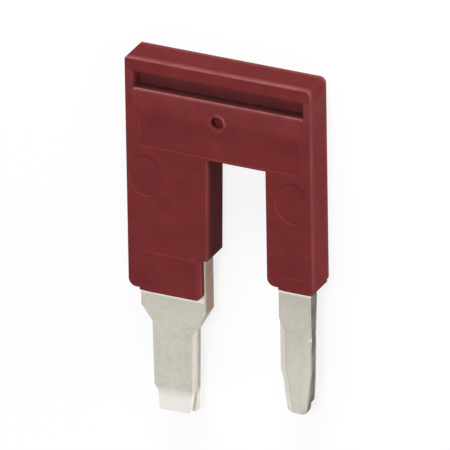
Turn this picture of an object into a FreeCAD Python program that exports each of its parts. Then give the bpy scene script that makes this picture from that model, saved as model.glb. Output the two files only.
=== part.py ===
# Plug-in jumper bar for terminal blocks, lying on its rear face.
# Millimetres. +Y points to the grip end, +Z out of the marked front face.
# The origin is under the middle of the bounding box, on the plane of the rear face.

import FreeCAD, Part
import os
import Sketcher

os.makedirs("parts", exist_ok=True)
doc = FreeCAD.newDocument("jumper_bar")

# Driving dimensions

SIZES = {
    # moulded housing: outline of the front face
    "housing_width": 16.2,
    "housing_depth": 3.0,
    "bridge_height": 7.8,
    "left_block_width": 7.1,
    "right_block_width": 4.05,
    "left_block_length": 20.2,
    "right_block_length": 17.8,
    "step_height": 3.4,
    "step_inset": 0.78,
    "inner_side_draft": 0.18,
    # moulded housing: rounded corners and edges
    "top_left_radius": 0.25,
    "top_right_radius": 0.5,
    "block_corner_radius": 0.7,
    "outer_corner_radius": 0.3,
    "front_edge_radius": 0.15,
    # raised pads on the front and the lips below them
    "pad_rise": 0.08,
    "pad_side_margin": 0.95,
    "right_pad_height": 1.05,
    "lip_overhang": 0.2,
    "lip_corner_radius": 0.4,
    "small_lip_radius": 0.15,
    "lip_bevel": 0.35,
    # grip grooves on both faces
    "groove_top": 1.15,
    "groove_height": 1.5,
    "groove_side_margin": 0.68,
    "groove_depth": 1.28,
    "scoop_drop": 0.16,
    "scoop_height": 1.7,
    # bare marking field
    "field_top": 4.65,
    "field_side_margin": 1.17,
    "field_rim": 0.18,
    "field_depth": 0.1,
    # support pin hole above the field
    "pin_hole_side": 8.0,
    "pin_hole_level": 4.42,
    "pin_hole_radius": 0.48,
    "pin_hole_depth": 0.6,
    # oval ejector marks
    "ejector_level": 10.18,
    "ejector_side_margin": 1.72,
    "ejector_half_width": 1.52,
    "ejector_half_height": 1.85,
    "ejector_depth": 0.08,
    # walls round the contact combs
    "left_outer_wall": 0.73,
    "left_inner_wall": 0.63,
    "right_outer_wall": 0.58,
    "right_inner_wall": 0.66,
    "moulding_gap": 0.02,
    # stamped contact combs
    "leaf_thickness": 0.8,
    "bar_top": 3.5,
    "bar_cover": 0.4,
    "spring_relief": 0.04,
    # large leg
    "left_leg_reach": 10.93,
    "shoulder_reach": 1.8,
    "left_taper_width": 1.03,
    "left_taper_height": 1.3,
    "right_taper_width": 1.24,
    "right_taper_height": 2.05,
    "left_slit_drop": 3.3,
    "tip_notch_height": 2.2,
    "tip_notch_width": 0.32,
    "tip_notch_ramp": 0.5,
    "tip_left_taper": 0.05,
    "tip_right_taper": 0.6,
    "rear_tip_right_taper": 0.06,
    "tip_right_height": 2.1,
    # small leg
    "right_leg_reach": 11.4,
    "right_slit_drop": 3.2,
    "right_tip_height": 3.8,
    "right_tip_bend_height": 2.8,
    "right_tip_bend_taper": 0.26,
    "right_tip_left_taper": 0.47,
    "right_tip_right_taper": 0.5,
    "right_tip_radius": 0.38,
    "rear_leg_inset": 0.18,
    "rear_leg_taper": 0.18,
    "rear_tip_rise": 0.93,
    # bevels on the outer long edges and lead-ins at the tips
    "bevel_width": 0.52,
    "bevel_drop": 0.2,
    "lead_in_height": 1.9,
    "lead_in_drop": 0.35,
}

sheet = doc.addObject("Spreadsheet::Sheet", "sizes")
for row, (alias, value) in enumerate(SIZES.items(), start=1):
    sheet.set(f"A{row}", alias)
    sheet.set(f"B{row}", str(value))
    sheet.setAlias(f"B{row}", alias)
doc.recompute()

# Distances below which two places, or a cut and nothing, count as the same

SAME_PLACE = 1e-3
SAME_PLANE = 1e-4
NOTHING_CUT = 1e-6

# Places, written as expressions of the driving dimensions

LENGTH = "(sizes.left_block_length + sizes.left_leg_reach)"


def across(distance):
    """Place along X of a point this far from the left side."""
    return f"({distance}) - sizes.housing_width / 2"


def down(distance):
    """Place along Y of a point this far below the top."""
    return f"{LENGTH} / 2 - ({distance})"


WIDTH = "sizes.housing_width"
STEP_LEVEL = "sizes.left_block_length - sizes.step_height"
LIP_RIGHT = "sizes.left_block_width - sizes.step_inset"
SMALL_LIP_RIGHT = "sizes.housing_width - sizes.front_edge_radius"
RIGHT_BLOCK_LEFT = "sizes.housing_width - sizes.right_block_width"
LEFT_LIP_END = "sizes.left_block_length + sizes.lip_overhang"
RIGHT_LIP_END = "sizes.right_block_length + sizes.lip_overhang"
MIDDLE = "sizes.housing_depth / 2"
METAL_HALF = "sizes.leaf_thickness"

LEG_LEFT = "sizes.left_outer_wall + sizes.moulding_gap"
LEG_RIGHT = "sizes.left_block_width - sizes.left_inner_wall - sizes.moulding_gap"
SMALL_LEFT = f"{RIGHT_BLOCK_LEFT} + sizes.right_inner_wall + sizes.moulding_gap"
SMALL_RIGHT = "sizes.housing_width - sizes.right_outer_wall - sizes.moulding_gap"
BAR_BOTTOM = "sizes.bridge_height - sizes.bar_cover"
LEFT_TIP = "sizes.left_block_length + sizes.left_leg_reach"
RIGHT_TIP = "sizes.right_block_length + sizes.right_leg_reach"
SHOULDER_END = "sizes.left_block_length + sizes.shoulder_reach"
SLIT_LEFT = "sizes.left_block_length + sizes.left_slit_drop"
SLIT_RIGHT = "sizes.right_block_length + sizes.right_slit_drop"


def number(owner, expression):
    """Value of an expression of the driving dimensions."""
    return float(owner.evalExpression(expression))


# Building blocks


def plane_of(body, role):
    """Origin plane of a body by its role."""
    return next(f for f in body.Origin.OriginFeatures if f.Role == role)


def new_sketch(body, name, role, offset=None):
    """Empty sketch on an origin plane, moved along the plane's normal."""
    sketch = body.newObject("Sketcher::SketchObject", name)
    sketch.AttachmentSupport = (plane_of(body, role), [""])
    sketch.MapMode = "FlatFace"
    if offset is not None:
        sketch.setExpression("AttachmentOffset.Base.z", offset)
    return sketch


def pin_point(sketch, geometry, position, across_text, up_text):
    """Hold one sketch point at a place given by two expressions."""
    for kind, text in (("DistanceX", across_text), ("DistanceY", up_text)):
        value = number(sketch, text)
        index = sketch.addConstraint(
            Sketcher.Constraint(kind, -1, 1, geometry, position, value)
        )
        sketch.setExpression(f"Constraints[{index}]", text)


def polygon(sketch, points):
    """Closed outline through points given as pairs of expressions."""
    places = [FreeCAD.Vector(number(sketch, x), number(sketch, y), 0) for x, y in points]
    first = sketch.GeometryCount
    count = len(points)
    for index in range(count):
        end = places[(index + 1) % count]
        sketch.addGeometry(Part.LineSegment(places[index], end), False)
    for index in range(count):
        following = first + (index + 1) % count
        sketch.addConstraint(
            Sketcher.Constraint("Coincident", first + index, 2, following, 1)
        )
    for index, (x, y) in enumerate(points):
        pin_point(sketch, first + index, 1, x, y)


def rectangle(sketch, left, right, bottom, top):
    """Upright rectangle between four places."""
    polygon(sketch, [(left, bottom), (right, bottom), (right, top), (left, top)])


def circle(sketch, centre_x, centre_y, radius):
    """Circle at a place."""
    centre = FreeCAD.Vector(number(sketch, centre_x), number(sketch, centre_y), 0)
    shape = Part.Circle(centre, FreeCAD.Vector(0, 0, 1), number(sketch, radius))
    index = sketch.addGeometry(shape, False)
    pin_point(sketch, index, 3, centre_x, centre_y)
    bound = sketch.addConstraint(Sketcher.Constraint("Radius", index, number(sketch, radius)))
    sketch.setExpression(f"Constraints[{bound}]", radius)


def upright_ellipse(sketch, centre_x, centre_y, half_width, half_height):
    """Ellipse whose long axis runs along Y."""
    x = number(sketch, centre_x)
    y = number(sketch, centre_y)
    wide = number(sketch, half_width)
    tall = number(sketch, half_height)
    shape = Part.Ellipse(
        FreeCAD.Vector(x, y + tall, 0), FreeCAD.Vector(x + wide, y, 0), FreeCAD.Vector(x, y, 0)
    )
    index = sketch.addGeometry(shape, False)
    sketch.exposeInternalGeometry(index)
    pin_point(sketch, index, 3, centre_x, centre_y)
    major = index + 1
    minor = index + 2
    sketch.addConstraint(Sketcher.Constraint("Vertical", major))
    for axis, kind, text in ((major, "Distance", half_height), (minor, "Distance", half_width)):
        full = f"2 * ({text})"
        bound = sketch.addConstraint(Sketcher.Constraint(kind, axis, number(sketch, full)))
        sketch.setExpression(f"Constraints[{bound}]", full)


def pad(body, name, sketch, length, backwards=False):
    """Solid grown from a sketch."""
    feature = body.newObject("PartDesign::Pad", name)
    feature.Profile = sketch
    feature.setExpression("Length", length)
    feature.Reversed = backwards
    doc.recompute()
    return feature


def pocket(body, name, sketch, length, backwards=False, both_ways=False):
    """Cut made from a sketch, checked to take something away."""
    before = body.Shape.Volume
    feature = body.newObject("PartDesign::Pocket", name)
    feature.Profile = sketch
    feature.setExpression("Length", length)
    feature.Reversed = backwards
    feature.Midplane = both_ways
    doc.recompute()
    if not body.Shape.Volume < before - NOTHING_CUT:
        raise RuntimeError(f"{body.Label}: {name} cuts nothing")
    return feature


def edge_names(feature, test):
    """Names of the edges of a feature that pass a test of the edge."""
    edges = feature.Shape.Edges
    return [f"Edge{i}" for i, edge in enumerate(edges, start=1) if test(edge)]


def middle_of(edge):
    """Middle point of an edge."""
    return edge.valueAt((edge.FirstParameter + edge.LastParameter) / 2)


def is_upright(edge, x, y):
    """Edge along Z that stands at a place."""
    ends = [vertex.Point for vertex in edge.Vertexes]
    if len(ends) != 2:
        return False
    flat = max(abs(ends[0].x - ends[1].x), abs(ends[0].y - ends[1].y))
    here = max(abs(ends[0].x - x), abs(ends[0].y - y))
    return flat < SAME_PLANE and here < SAME_PLACE


def round_corners(body, name, corners, radius):
    """Fillet on the edges along Z at the corners given as pairs of expressions."""
    base = body.Tip
    names = []
    for x_text, y_text in corners:
        x = number(base, x_text)
        y = number(base, y_text)
        names += edge_names(base, lambda edge: is_upright(edge, x, y))
    if not names:
        raise RuntimeError(f"{body.Label}: {name} finds no corner")
    feature = body.newObject("PartDesign::Fillet", name)
    feature.Base = (base, names)
    feature.setExpression("Radius", radius)
    doc.recompute()
    return feature


def check(body):
    """Stop if anything in the body failed."""
    for item in [body] + list(body.Group):
        if "Invalid" in item.State or "Error" in item.State:
            raise RuntimeError(f"{item.Name} failed: {item.State}")
    if body.Shape.isNull() or not body.Shape.isValid():
        raise RuntimeError(f"{body.Label} has no valid shape")
    if len(body.Shape.Solids) != 1:
        raise RuntimeError(f"{body.Label} has {len(body.Shape.Solids)} solids")


# Outline shared by the two contact combs and the hollow that holds them


def comb_outline(grow, left_leg, right_leg):
    """Points of the comb, grown by a gap, round two given leg outlines."""
    return (
        [(across(f"{LEG_LEFT} - {grow}"), down(f"sizes.bar_top - {grow}"))]
        + left_leg
        + [
            (across(f"{LEG_RIGHT} + {grow}"), down(f"{BAR_BOTTOM} + {grow}")),
            (across(f"{SMALL_LEFT} - {grow}"), down(f"{BAR_BOTTOM} + {grow}")),
        ]
        + right_leg
        + [(across(f"{SMALL_RIGHT} + {grow}"), down(f"sizes.bar_top - {grow}"))]
    )


# Moulded housing


def build_housing():
    """Housing with grip grooves, marking field, pads and the hollow for the combs."""
    body = doc.addObject("PartDesign::Body", "housing")
    body.Label = "housing"

    outline = new_sketch(body, "housing_outline", "XY_Plane")
    polygon(
        outline,
        [
            (across("0"), down("0")),
            (across("0"), down("sizes.left_block_length")),
            (across(LIP_RIGHT), down("sizes.left_block_length")),
            (across(LIP_RIGHT), down(STEP_LEVEL)),
            (across("sizes.left_block_width - sizes.inner_side_draft"), down(STEP_LEVEL)),
            (across("sizes.left_block_width"), down("sizes.bridge_height")),
            (across(RIGHT_BLOCK_LEFT), down("sizes.bridge_height")),
            (across(RIGHT_BLOCK_LEFT), down("sizes.right_block_length")),
            (across(WIDTH), down("sizes.right_block_length")),
            (across(WIDTH), down("0")),
        ],
    )
    pad(body, "housing_plate", outline, "sizes.housing_depth")

    round_corners(
        body, "top_left_corner", [(across("0"), down("0"))], "sizes.top_left_radius"
    )
    round_corners(
        body, "top_right_corner", [(across(WIDTH), down("0"))], "sizes.top_right_radius"
    )
    round_corners(
        body,
        "block_corners",
        [
            (across("0"), down("sizes.left_block_length")),
            (across(RIGHT_BLOCK_LEFT), down("sizes.right_block_length")),
        ],
        "sizes.block_corner_radius",
    )
    round_corners(
        body,
        "outer_corner",
        [(across(WIDTH), down("sizes.right_block_length"))],
        "sizes.outer_corner_radius",
    )
    soften_front(body)

    add_lips(body)
    cut_hollow(body)
    finish_lip(body)
    cut_grip(body)
    cut_marks(body)
    doc.recompute()
    check(body)
    return body


def cut_hollow(body):
    """Space for the two combs, open below both blocks and beside the large leg."""
    hollow = new_sketch(body, "comb_hollow", "XY_Plane", MIDDLE)
    gap = "sizes.moulding_gap"
    open_side = "sizes.left_block_width + sizes.step_inset"
    polygon(
        hollow,
        comb_outline(
            gap,
            [
                (across(f"{LEG_LEFT} - {gap}"), down(LEFT_TIP)),
                (across(open_side), down(LEFT_TIP)),
                (across(open_side), down(STEP_LEVEL)),
                (across(f"{LEG_RIGHT} + {gap}"), down(STEP_LEVEL)),
            ],
            [
                (across(f"{SMALL_LEFT} - {gap}"), down(LEFT_TIP)),
                (across(f"{SMALL_RIGHT} + {gap}"), down(LEFT_TIP)),
            ],
        ),
    )
    pocket(body, "comb_space", hollow, f"2 * ({METAL_HALF} + {gap})", both_ways=True)


def finish_lip(body):
    """Round lower corner and bevelled long edges of the lips beside the large leg."""
    round_corners(
        body,
        "lip_corners",
        [(across(LIP_RIGHT), down(LEFT_LIP_END))],
        "sizes.lip_corner_radius",
    )
    round_corners(
        body,
        "small_lip_corners",
        [(across(SMALL_LIP_RIGHT), down(RIGHT_LIP_END))],
        "sizes.small_lip_radius",
    )
    inner = across(f"{LIP_RIGHT} - sizes.lip_bevel")
    outer = across(f"{LIP_RIGHT} + sizes.lip_bevel")
    bevel = new_sketch(body, "lip_bevel_profile", "XZ_Plane", f"-({down(STEP_LEVEL)})")
    for face, inward, outward in (
        ("sizes.housing_depth + sizes.pad_rise", "-", "+"),
        ("0", "+", "-"),
    ):
        low = f"{face} {inward} sizes.lip_bevel"
        high = f"{face} {outward} sizes.lip_bevel"
        polygon(
            bevel,
            [(inner, face), (across(LIP_RIGHT), low), (outer, low), (outer, high), (inner, high)],
        )
    pocket(
        body, "lip_bevel", bevel, "sizes.step_height + sizes.lip_bevel", backwards=True
    )


def soften_front(body):
    """Small radius round the front face's outline."""
    base = body.Tip
    front = number(base, "sizes.housing_depth")

    def on_front(edge):
        points = [vertex.Point for vertex in edge.Vertexes] + [middle_of(edge)]
        return all(abs(point.z - front) < SAME_PLANE for point in points)

    feature = body.newObject("PartDesign::Fillet", "front_edges")
    feature.Base = (base, edge_names(base, on_front))
    feature.setExpression("Radius", "sizes.front_edge_radius")
    doc.recompute()


def add_lips(body):
    """Lips that reach past the blocks in front of and behind the metal."""
    lip_depth = f"{MIDDLE} - {METAL_HALF} - sizes.moulding_gap"
    front_start = f"{MIDDLE} + {METAL_HALF} + sizes.moulding_gap"
    places = {
        "left": (
            "sizes.pad_side_margin",
            LIP_RIGHT,
            STEP_LEVEL,
            LEFT_LIP_END,
        ),
        "right": (
            f"{RIGHT_BLOCK_LEFT} + sizes.pad_side_margin",
            SMALL_LIP_RIGHT,
            "sizes.right_block_length - sizes.right_pad_height",
            RIGHT_LIP_END,
        ),
    }
    for side, (left, right, start, end) in places.items():
        front = new_sketch(body, f"{side}_front_lip_outline", "XY_Plane", front_start)
        rectangle(front, across(left), across(right), down(end), down(start))
        pad(body, f"{side}_front_lip", front, f"{lip_depth} + sizes.pad_rise")
        rear = new_sketch(body, f"{side}_rear_lip_outline", "XY_Plane")
        rectangle(rear, across(left), across(right), down(end), down(start))
        pad(body, f"{side}_rear_lip", rear, lip_depth)


def cut_grip(body):
    """Grip groove on each face, with a sloping scoop below the front one."""
    left = across("sizes.groove_side_margin")
    right = across("sizes.housing_width - sizes.groove_side_margin")
    low = down("sizes.groove_top + sizes.groove_height")
    high = down("sizes.groove_top")
    front = new_sketch(body, "front_groove_outline", "XY_Plane", "sizes.housing_depth")
    rectangle(front, left, right, low, high)
    pocket(body, "front_groove", front, "sizes.groove_depth")
    rear = new_sketch(body, "rear_groove_outline", "XY_Plane")
    rectangle(rear, left, right, low, high)
    pocket(body, "rear_groove", rear, "sizes.groove_depth", backwards=True)

    scoop = new_sketch(body, "scoop_profile", "YZ_Plane")
    groove_end = "sizes.groove_top + sizes.groove_height"
    above = "sizes.housing_depth + sizes.scoop_drop"
    polygon(
        scoop,
        [
            (down(groove_end), "sizes.housing_depth - sizes.scoop_drop"),
            (down(f"{groove_end} + sizes.scoop_height"), "sizes.housing_depth"),
            (down(f"{groove_end} + sizes.scoop_height"), above),
            (down(groove_end), above),
        ],
    )
    pocket(
        body,
        "scoop",
        scoop,
        "sizes.housing_width - 2 * sizes.groove_side_margin",
        both_ways=True,
    )


def cut_marks(body):
    """Bare marking field, pin hole and ejector marks on the front face."""
    face = "sizes.housing_depth"
    field = new_sketch(body, "field_outline", "XY_Plane", face)
    rectangle(
        field,
        across("sizes.field_side_margin"),
        across("sizes.housing_width - sizes.field_side_margin"),
        down("sizes.bridge_height - sizes.field_rim"),
        down("sizes.field_top"),
    )
    pocket(body, "marking_field", field, "sizes.field_depth")

    hole = new_sketch(body, "pin_hole_outline", "XY_Plane", face)
    circle(
        hole,
        across("sizes.pin_hole_side"),
        down("sizes.pin_hole_level"),
        "sizes.pin_hole_radius",
    )
    pocket(body, "pin_hole", hole, "sizes.pin_hole_depth")

    for side, place in (
        ("left", "sizes.ejector_side_margin"),
        ("right", "sizes.housing_width - sizes.ejector_side_margin"),
    ):
        mark = new_sketch(body, f"{side}_ejector_outline", "XY_Plane", face)
        upright_ellipse(
            mark,
            across(place),
            down("sizes.ejector_level"),
            "sizes.ejector_half_width",
            "sizes.ejector_half_height",
        )
        pocket(body, f"{side}_ejector_mark", mark, "sizes.ejector_depth")


# Stamped contact combs


def build_comb(name, front):
    """One stamped leaf: a hidden bar with a large and a small leg."""
    body = doc.addObject("PartDesign::Body", name)
    body.Label = name
    blade_left = f"{LEG_LEFT} + sizes.left_taper_width"
    blade_right = f"{LEG_RIGHT} - sizes.right_taper_width"
    notch_start = f"{LEFT_TIP} - sizes.tip_notch_height"
    right_slope = "sizes.tip_right_taper" if front else "sizes.rear_tip_right_taper"
    taper_start = f"{RIGHT_TIP} - sizes.right_tip_height"
    tip_left = f"{SMALL_LEFT} + sizes.right_tip_left_taper"
    if front:
        small_tip = RIGHT_TIP
        tip_right = f"{SMALL_RIGHT} - sizes.right_tip_right_taper"
        right_edge = [(across(SMALL_RIGHT), down(taper_start))]
    else:
        small_tip = f"{RIGHT_TIP} - sizes.rear_tip_rise"
        tip_right = f"{SMALL_RIGHT} - sizes.rear_leg_inset - sizes.rear_leg_taper"
        right_edge = [
            (across(f"{SMALL_RIGHT} - sizes.rear_leg_inset"), down(SLIT_RIGHT)),
            (across(f"{SMALL_RIGHT} - sizes.rear_leg_inset"), down(BAR_BOTTOM)),
            (across(SMALL_RIGHT), down(BAR_BOTTOM)),
        ]

    outline = new_sketch(body, f"{name}_outline", "XY_Plane", MIDDLE)
    polygon(
        outline,
        comb_outline(
            "0",
            [
                (across(LEG_LEFT), down(SHOULDER_END)),
                (across(blade_left), down(f"{SHOULDER_END} + sizes.left_taper_height")),
                (across(blade_left), down(notch_start)),
                (
                    across(f"{blade_left} + sizes.tip_notch_width"),
                    down(f"{notch_start} + sizes.tip_notch_ramp"),
                ),
                (
                    across(f"{blade_left} + sizes.tip_notch_width + sizes.tip_left_taper"),
                    down(LEFT_TIP),
                ),
                (across(f"{blade_right} - {right_slope}"), down(LEFT_TIP)),
                (across(blade_right), down(f"{LEFT_TIP} - sizes.tip_right_height")),
                (
                    across(blade_right),
                    down(f"{SHOULDER_END} + sizes.right_taper_height"),
                ),
                (across(LEG_RIGHT), down(SHOULDER_END)),
            ],
            [
                (across(SMALL_LEFT), down(taper_start)),
                (
                    across(f"{SMALL_LEFT} + sizes.right_tip_bend_taper"),
                    down(f"{RIGHT_TIP} - sizes.right_tip_bend_height"),
                ),
                (across(tip_left), down(small_tip)),
                (across(tip_right), down(small_tip)),
            ]
            + right_edge,
        ),
    )
    pad(body, f"{name}_plate", outline, "sizes.leaf_thickness", backwards=not front)
    round_corners(
        body,
        f"{name}_tip_corners",
        [(across(tip_left), down(small_tip)), (across(tip_right), down(small_tip))],
        "sizes.right_tip_radius",
    )

    slit = new_sketch(body, f"{name}_slit_outline", "XY_Plane", MIDDLE)
    rectangle(
        slit,
        across("0"),
        across("sizes.left_block_width"),
        down(f"{LEFT_TIP} + sizes.lip_overhang"),
        down(SLIT_LEFT),
    )
    rectangle(
        slit,
        across(RIGHT_BLOCK_LEFT),
        across(WIDTH),
        down(f"{RIGHT_TIP} + sizes.lip_overhang"),
        down(SLIT_RIGHT),
    )
    pocket(body, f"{name}_slit", slit, "sizes.spring_relief", backwards=front)

    outside = f"{MIDDLE} {'+' if front else '-'} {METAL_HALF}"
    inward = "-" if front else "+"
    outward = "+" if front else "-"
    low = f"{outside} {inward} sizes.bevel_drop"
    high = f"{outside} {outward} sizes.bevel_drop"
    bevel = new_sketch(body, f"{name}_bevel_profile", "XZ_Plane", f"-({down(SLIT_RIGHT)})")
    for edge, into, away in (
        (SMALL_LEFT, "+", "-"),
        (SMALL_RIGHT if front else f"{SMALL_RIGHT} - sizes.rear_leg_inset", "-", "+"),
    ):
        inner = across(f"{edge} {into} sizes.bevel_width")
        outer = across(f"{edge} {away} sizes.bevel_width")
        polygon(
            bevel,
            [(inner, outside), (inner, high), (outer, high), (outer, low), (across(edge), low)],
        )
    reach = "sizes.right_leg_reach - sizes.right_slit_drop + sizes.bevel_drop"
    pocket(body, f"{name}_bevels", bevel, reach, backwards=True)

    for leg, tip, left, right in (
        ("large", LEFT_TIP, LEG_LEFT, LEG_RIGHT),
        ("small", small_tip, SMALL_LEFT, SMALL_RIGHT),
    ):
        lead = new_sketch(
            body, f"{name}_{leg}_lead_profile", "YZ_Plane", across(f"({left} + {right}) / 2")
        )
        shallow = f"{outside} {inward} sizes.lead_in_drop"
        clear = f"{outside} {outward} sizes.lead_in_drop"
        polygon(
            lead,
            [
                (down(f"{tip} - sizes.lead_in_height"), outside),
                (down(tip), shallow),
                (down(f"{tip} + sizes.lead_in_drop"), shallow),
                (down(f"{tip} + sizes.lead_in_drop"), clear),
                (down(f"{tip} - sizes.lead_in_height"), clear),
            ],
        )
        breadth = f"{right} - ({left}) + 2 * sizes.bevel_width"
        pocket(body, f"{name}_{leg}_lead_in", lead, breadth, both_ways=True)
    doc.recompute()
    check(body)
    return body


pieces = [
    build_housing(),
    build_comb("front_contact_comb", True),
    build_comb("rear_contact_comb", False),
]
for piece in pieces:
    piece.Placement = FreeCAD.Placement()
doc.recompute()
for piece in pieces:
    check(piece)
    box = piece.Shape.BoundBox
    print(
        f"{piece.Label}: volume {piece.Shape.Volume:.2f} mm3, "
        f"{box.XLength:.2f} x {box.YLength:.2f} x {box.ZLength:.2f} mm"
    )
for piece in pieces:
    piece.Shape.exportStep(f"parts/{piece.Label}.step")
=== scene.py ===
"""Looks of a plug-in jumper bar for terminal blocks.

The bar is a dark red moulded housing round two stamped metal leaves that lie back to back.
Each leaf is a comb: a bar hidden in the housing joins a wide leg and a narrow leg, which
stick out below the housing as plug legs. The bar lies on its rear face.

Every piece here is a relief plate: two height maps over one grid of columns and rows, closed
by walls round the outline. The grid is drawn with u, the distance from the left side, and v,
the distance below the top edge, both in millimetres.
"""

import logging
import math
from dataclasses import dataclass, field
from enum import Enum
from typing import Callable

import bpy
import numpy as np
from mathutils import Matrix, Vector


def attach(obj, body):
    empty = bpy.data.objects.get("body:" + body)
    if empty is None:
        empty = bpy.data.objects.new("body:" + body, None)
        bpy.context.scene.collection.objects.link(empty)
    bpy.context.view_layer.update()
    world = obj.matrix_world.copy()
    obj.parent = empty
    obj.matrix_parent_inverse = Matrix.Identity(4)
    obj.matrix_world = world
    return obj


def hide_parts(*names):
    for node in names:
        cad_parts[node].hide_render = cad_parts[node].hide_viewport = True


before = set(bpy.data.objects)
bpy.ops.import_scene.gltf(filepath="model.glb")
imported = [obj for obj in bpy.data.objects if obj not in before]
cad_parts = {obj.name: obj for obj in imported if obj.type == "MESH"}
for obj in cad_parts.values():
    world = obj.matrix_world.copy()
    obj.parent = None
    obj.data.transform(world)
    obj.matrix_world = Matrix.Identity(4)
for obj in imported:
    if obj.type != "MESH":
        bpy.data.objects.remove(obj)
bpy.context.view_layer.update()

log = logging.getLogger("jumper_bar")

MM = 0.001
"""One millimetre in metres."""

HAIR = 1e-6
"""Slack, in millimetres, for places that should be equal."""

NEAR = 0.01
"""Distance, in millimetres, within which a point counts as beside a line."""

FAR = 9.0
"""Distance, in millimetres, beyond the reach of any rounded edge."""

SHARP_ANGLE = math.radians(32)
"""Angle between faces above which an edge is shaded sharp."""

WAVES = 5
"""Number of sine waves in a gentle unevenness."""

WAVE_SPREAD = (0.7, 1.5)
"""Shortest and longest of these waves, as shares of their mean length."""

WAVE_GAIN = 1.6
"""Factor that brings the mean of these waves to about -1 to 1."""

Array = np.ndarray
Span = tuple[float, float]
Triple = tuple[float, float, float]
Lines = tuple[list[float], list[float]]
Socket = bpy.types.NodeSocket


class Face(Enum):
    """Side of the bar that a leaf lies on."""

    FRONT = "front"
    REAR = "rear"


# Grid lines, spots and corners


def grid_lines(marks: list[float], step: float) -> Array:
    """Grid lines through every mark, with even lines between marks far apart.

    Args:
        marks: places that must have a line, in any order.
        step: widest gap left between two lines.

    Returns:
        The sorted lines.
    """
    stops = np.unique(np.round(np.asarray(marks, float), 5))
    counts = np.maximum(np.ceil(np.diff(stops) / step).astype(int), 1)
    starts = np.repeat(stops[:-1], counts)
    gaps = np.repeat(np.diff(stops) / counts, counts)
    order = np.arange(counts.sum()) - np.repeat(np.cumsum(counts) - counts, counts)
    return np.append(starts + order * gaps, stops[-1])


def extend(columns: list[float], rows: list[float], more: list[Lines]) -> None:
    """Adds the columns and rows of several features to two lists."""
    for new_columns, new_rows in more:
        columns += new_columns
        rows += new_rows


def rim_offsets(radius: float, count: int = 5) -> Array:
    """Distances in from an edge at which a rounded edge has its lines.

    The formula is radius times one minus the cosine of even steps of a quarter turn, so the
    lines crowd where the rounded edge is steepest.

    Args:
        radius: radius of the rounded edge.
        count: number of strips across the rounded edge.

    Returns:
        The distances, from 0 to the radius.
    """
    turn = np.linspace(0.0, math.pi / 2, count + 1)
    return radius * (1.0 - np.cos(turn))


def rounded_drop(distance: Array, radius: float) -> Array:
    """Depth of a quarter-round edge below its face.

    The formula is r minus the square root of r squared minus the square of r less the
    distance, which is 0 from one radius in and r at the edge itself.

    Args:
        distance: distance in from the edge.
        radius: radius of the rounded edge.

    Returns:
        The depth at each distance.
    """
    left = np.clip(radius - distance, 0.0, radius)
    return radius - np.sqrt(radius**2 - left**2)


def ramp(value: Array, start: float, end: float) -> Array:
    """Straight rise from 0 at start to 1 at end, level outside them."""
    return np.clip((value - start) / (end - start), 0.0, 1.0)


def soft_ramp(value: Array, start: float, end: float) -> Array:
    """Rise from 0 at start to 1 at end with soft shoulders, three t squared less two t cubed."""
    t = ramp(value, start, end)
    return t * t * (3.0 - 2.0 * t)


def plateau(value: Array, rise: Span, fall: Span) -> Array:
    """Straight rise from 0 to 1 over one span, and straight fall to 0 over a later one."""
    return ramp(value, *rise) * (1.0 - ramp(value, *fall))


def bell(value: Array, width: float) -> Array:
    """Bell of height 1 at 0: e to the power of minus the square of value over width."""
    return np.exp(-((value / width) ** 2))


def wave(u: Array, v: Array, length: float, seed: int) -> Array:
    """Gentle unevenness made of crossed sine waves of about one length.

    Args:
        u: distance from the left side.
        v: distance below the top edge.
        length: mean wave length in millimetres.
        seed: seed of the waves' directions and starts.

    Returns:
        Values from about -1 to 1.
    """
    chance = np.random.default_rng(seed)
    heading = chance.uniform(0.0, math.tau, WAVES)
    start = chance.uniform(0.0, math.tau, WAVES)
    number = math.tau / (length * chance.uniform(*WAVE_SPREAD, WAVES))
    along = u[..., None] * np.cos(heading) + v[..., None] * np.sin(heading)
    return np.sin(along * number + start).mean(axis=-1) * WAVE_GAIN


@dataclass(frozen=True)
class Spot:
    """Round or oval feature: the grid's square rings are bent into rings round it."""

    u: float
    v: float
    half_width: float
    half_height: float
    reach: float = 1.1

    def level(self, u: Array, v: Array) -> Array:
        """Ring number of each grid point, 0 in the middle and 1 on the oval."""
        return np.maximum(
            np.abs(u - self.u) / self.half_width, np.abs(v - self.v) / self.half_height
        )

    def bend(self, u: Array, v: Array, x: Array, d: Array) -> tuple[Array, Array]:
        """Moves the grid points near the spot onto its rings.

        A point on square ring m goes to radius m along its own direction. From ring 1 to the
        reach the move fades out in a straight line.

        Args:
            u: grid distance from the left side.
            v: grid distance below the top edge.
            x: place from the left so far.
            d: place below the top so far.

        Returns:
            The new x and d.
        """
        p = (u - self.u) / self.half_width
        q = (v - self.v) / self.half_height
        ring = np.maximum(np.abs(p), np.abs(q))
        far = np.hypot(p, q)
        onto = ring / np.where(far > 0, far, 1.0)
        fade = ramp(ring, 1.0, self.reach)
        scale = np.where(ring < self.reach, onto + (1.0 - onto) * fade, 1.0)
        return x + (scale - 1.0) * (u - self.u), d + (scale - 1.0) * (v - self.v)

    def lines(self, rings: list[float], spokes: int) -> Lines:
        """Grid lines that the spot needs.

        Args:
            rings: ring numbers that must have a line.
            spokes: even strips from the middle to ring 1.

        Returns:
            The columns and the rows.
        """
        marks = np.unique(np.concatenate([rings, np.linspace(0.0, 1.0, spokes + 1)]))
        marks = np.concatenate([-marks, marks])
        return list(self.u + marks * self.half_width), list(self.v + marks * self.half_height)


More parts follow.
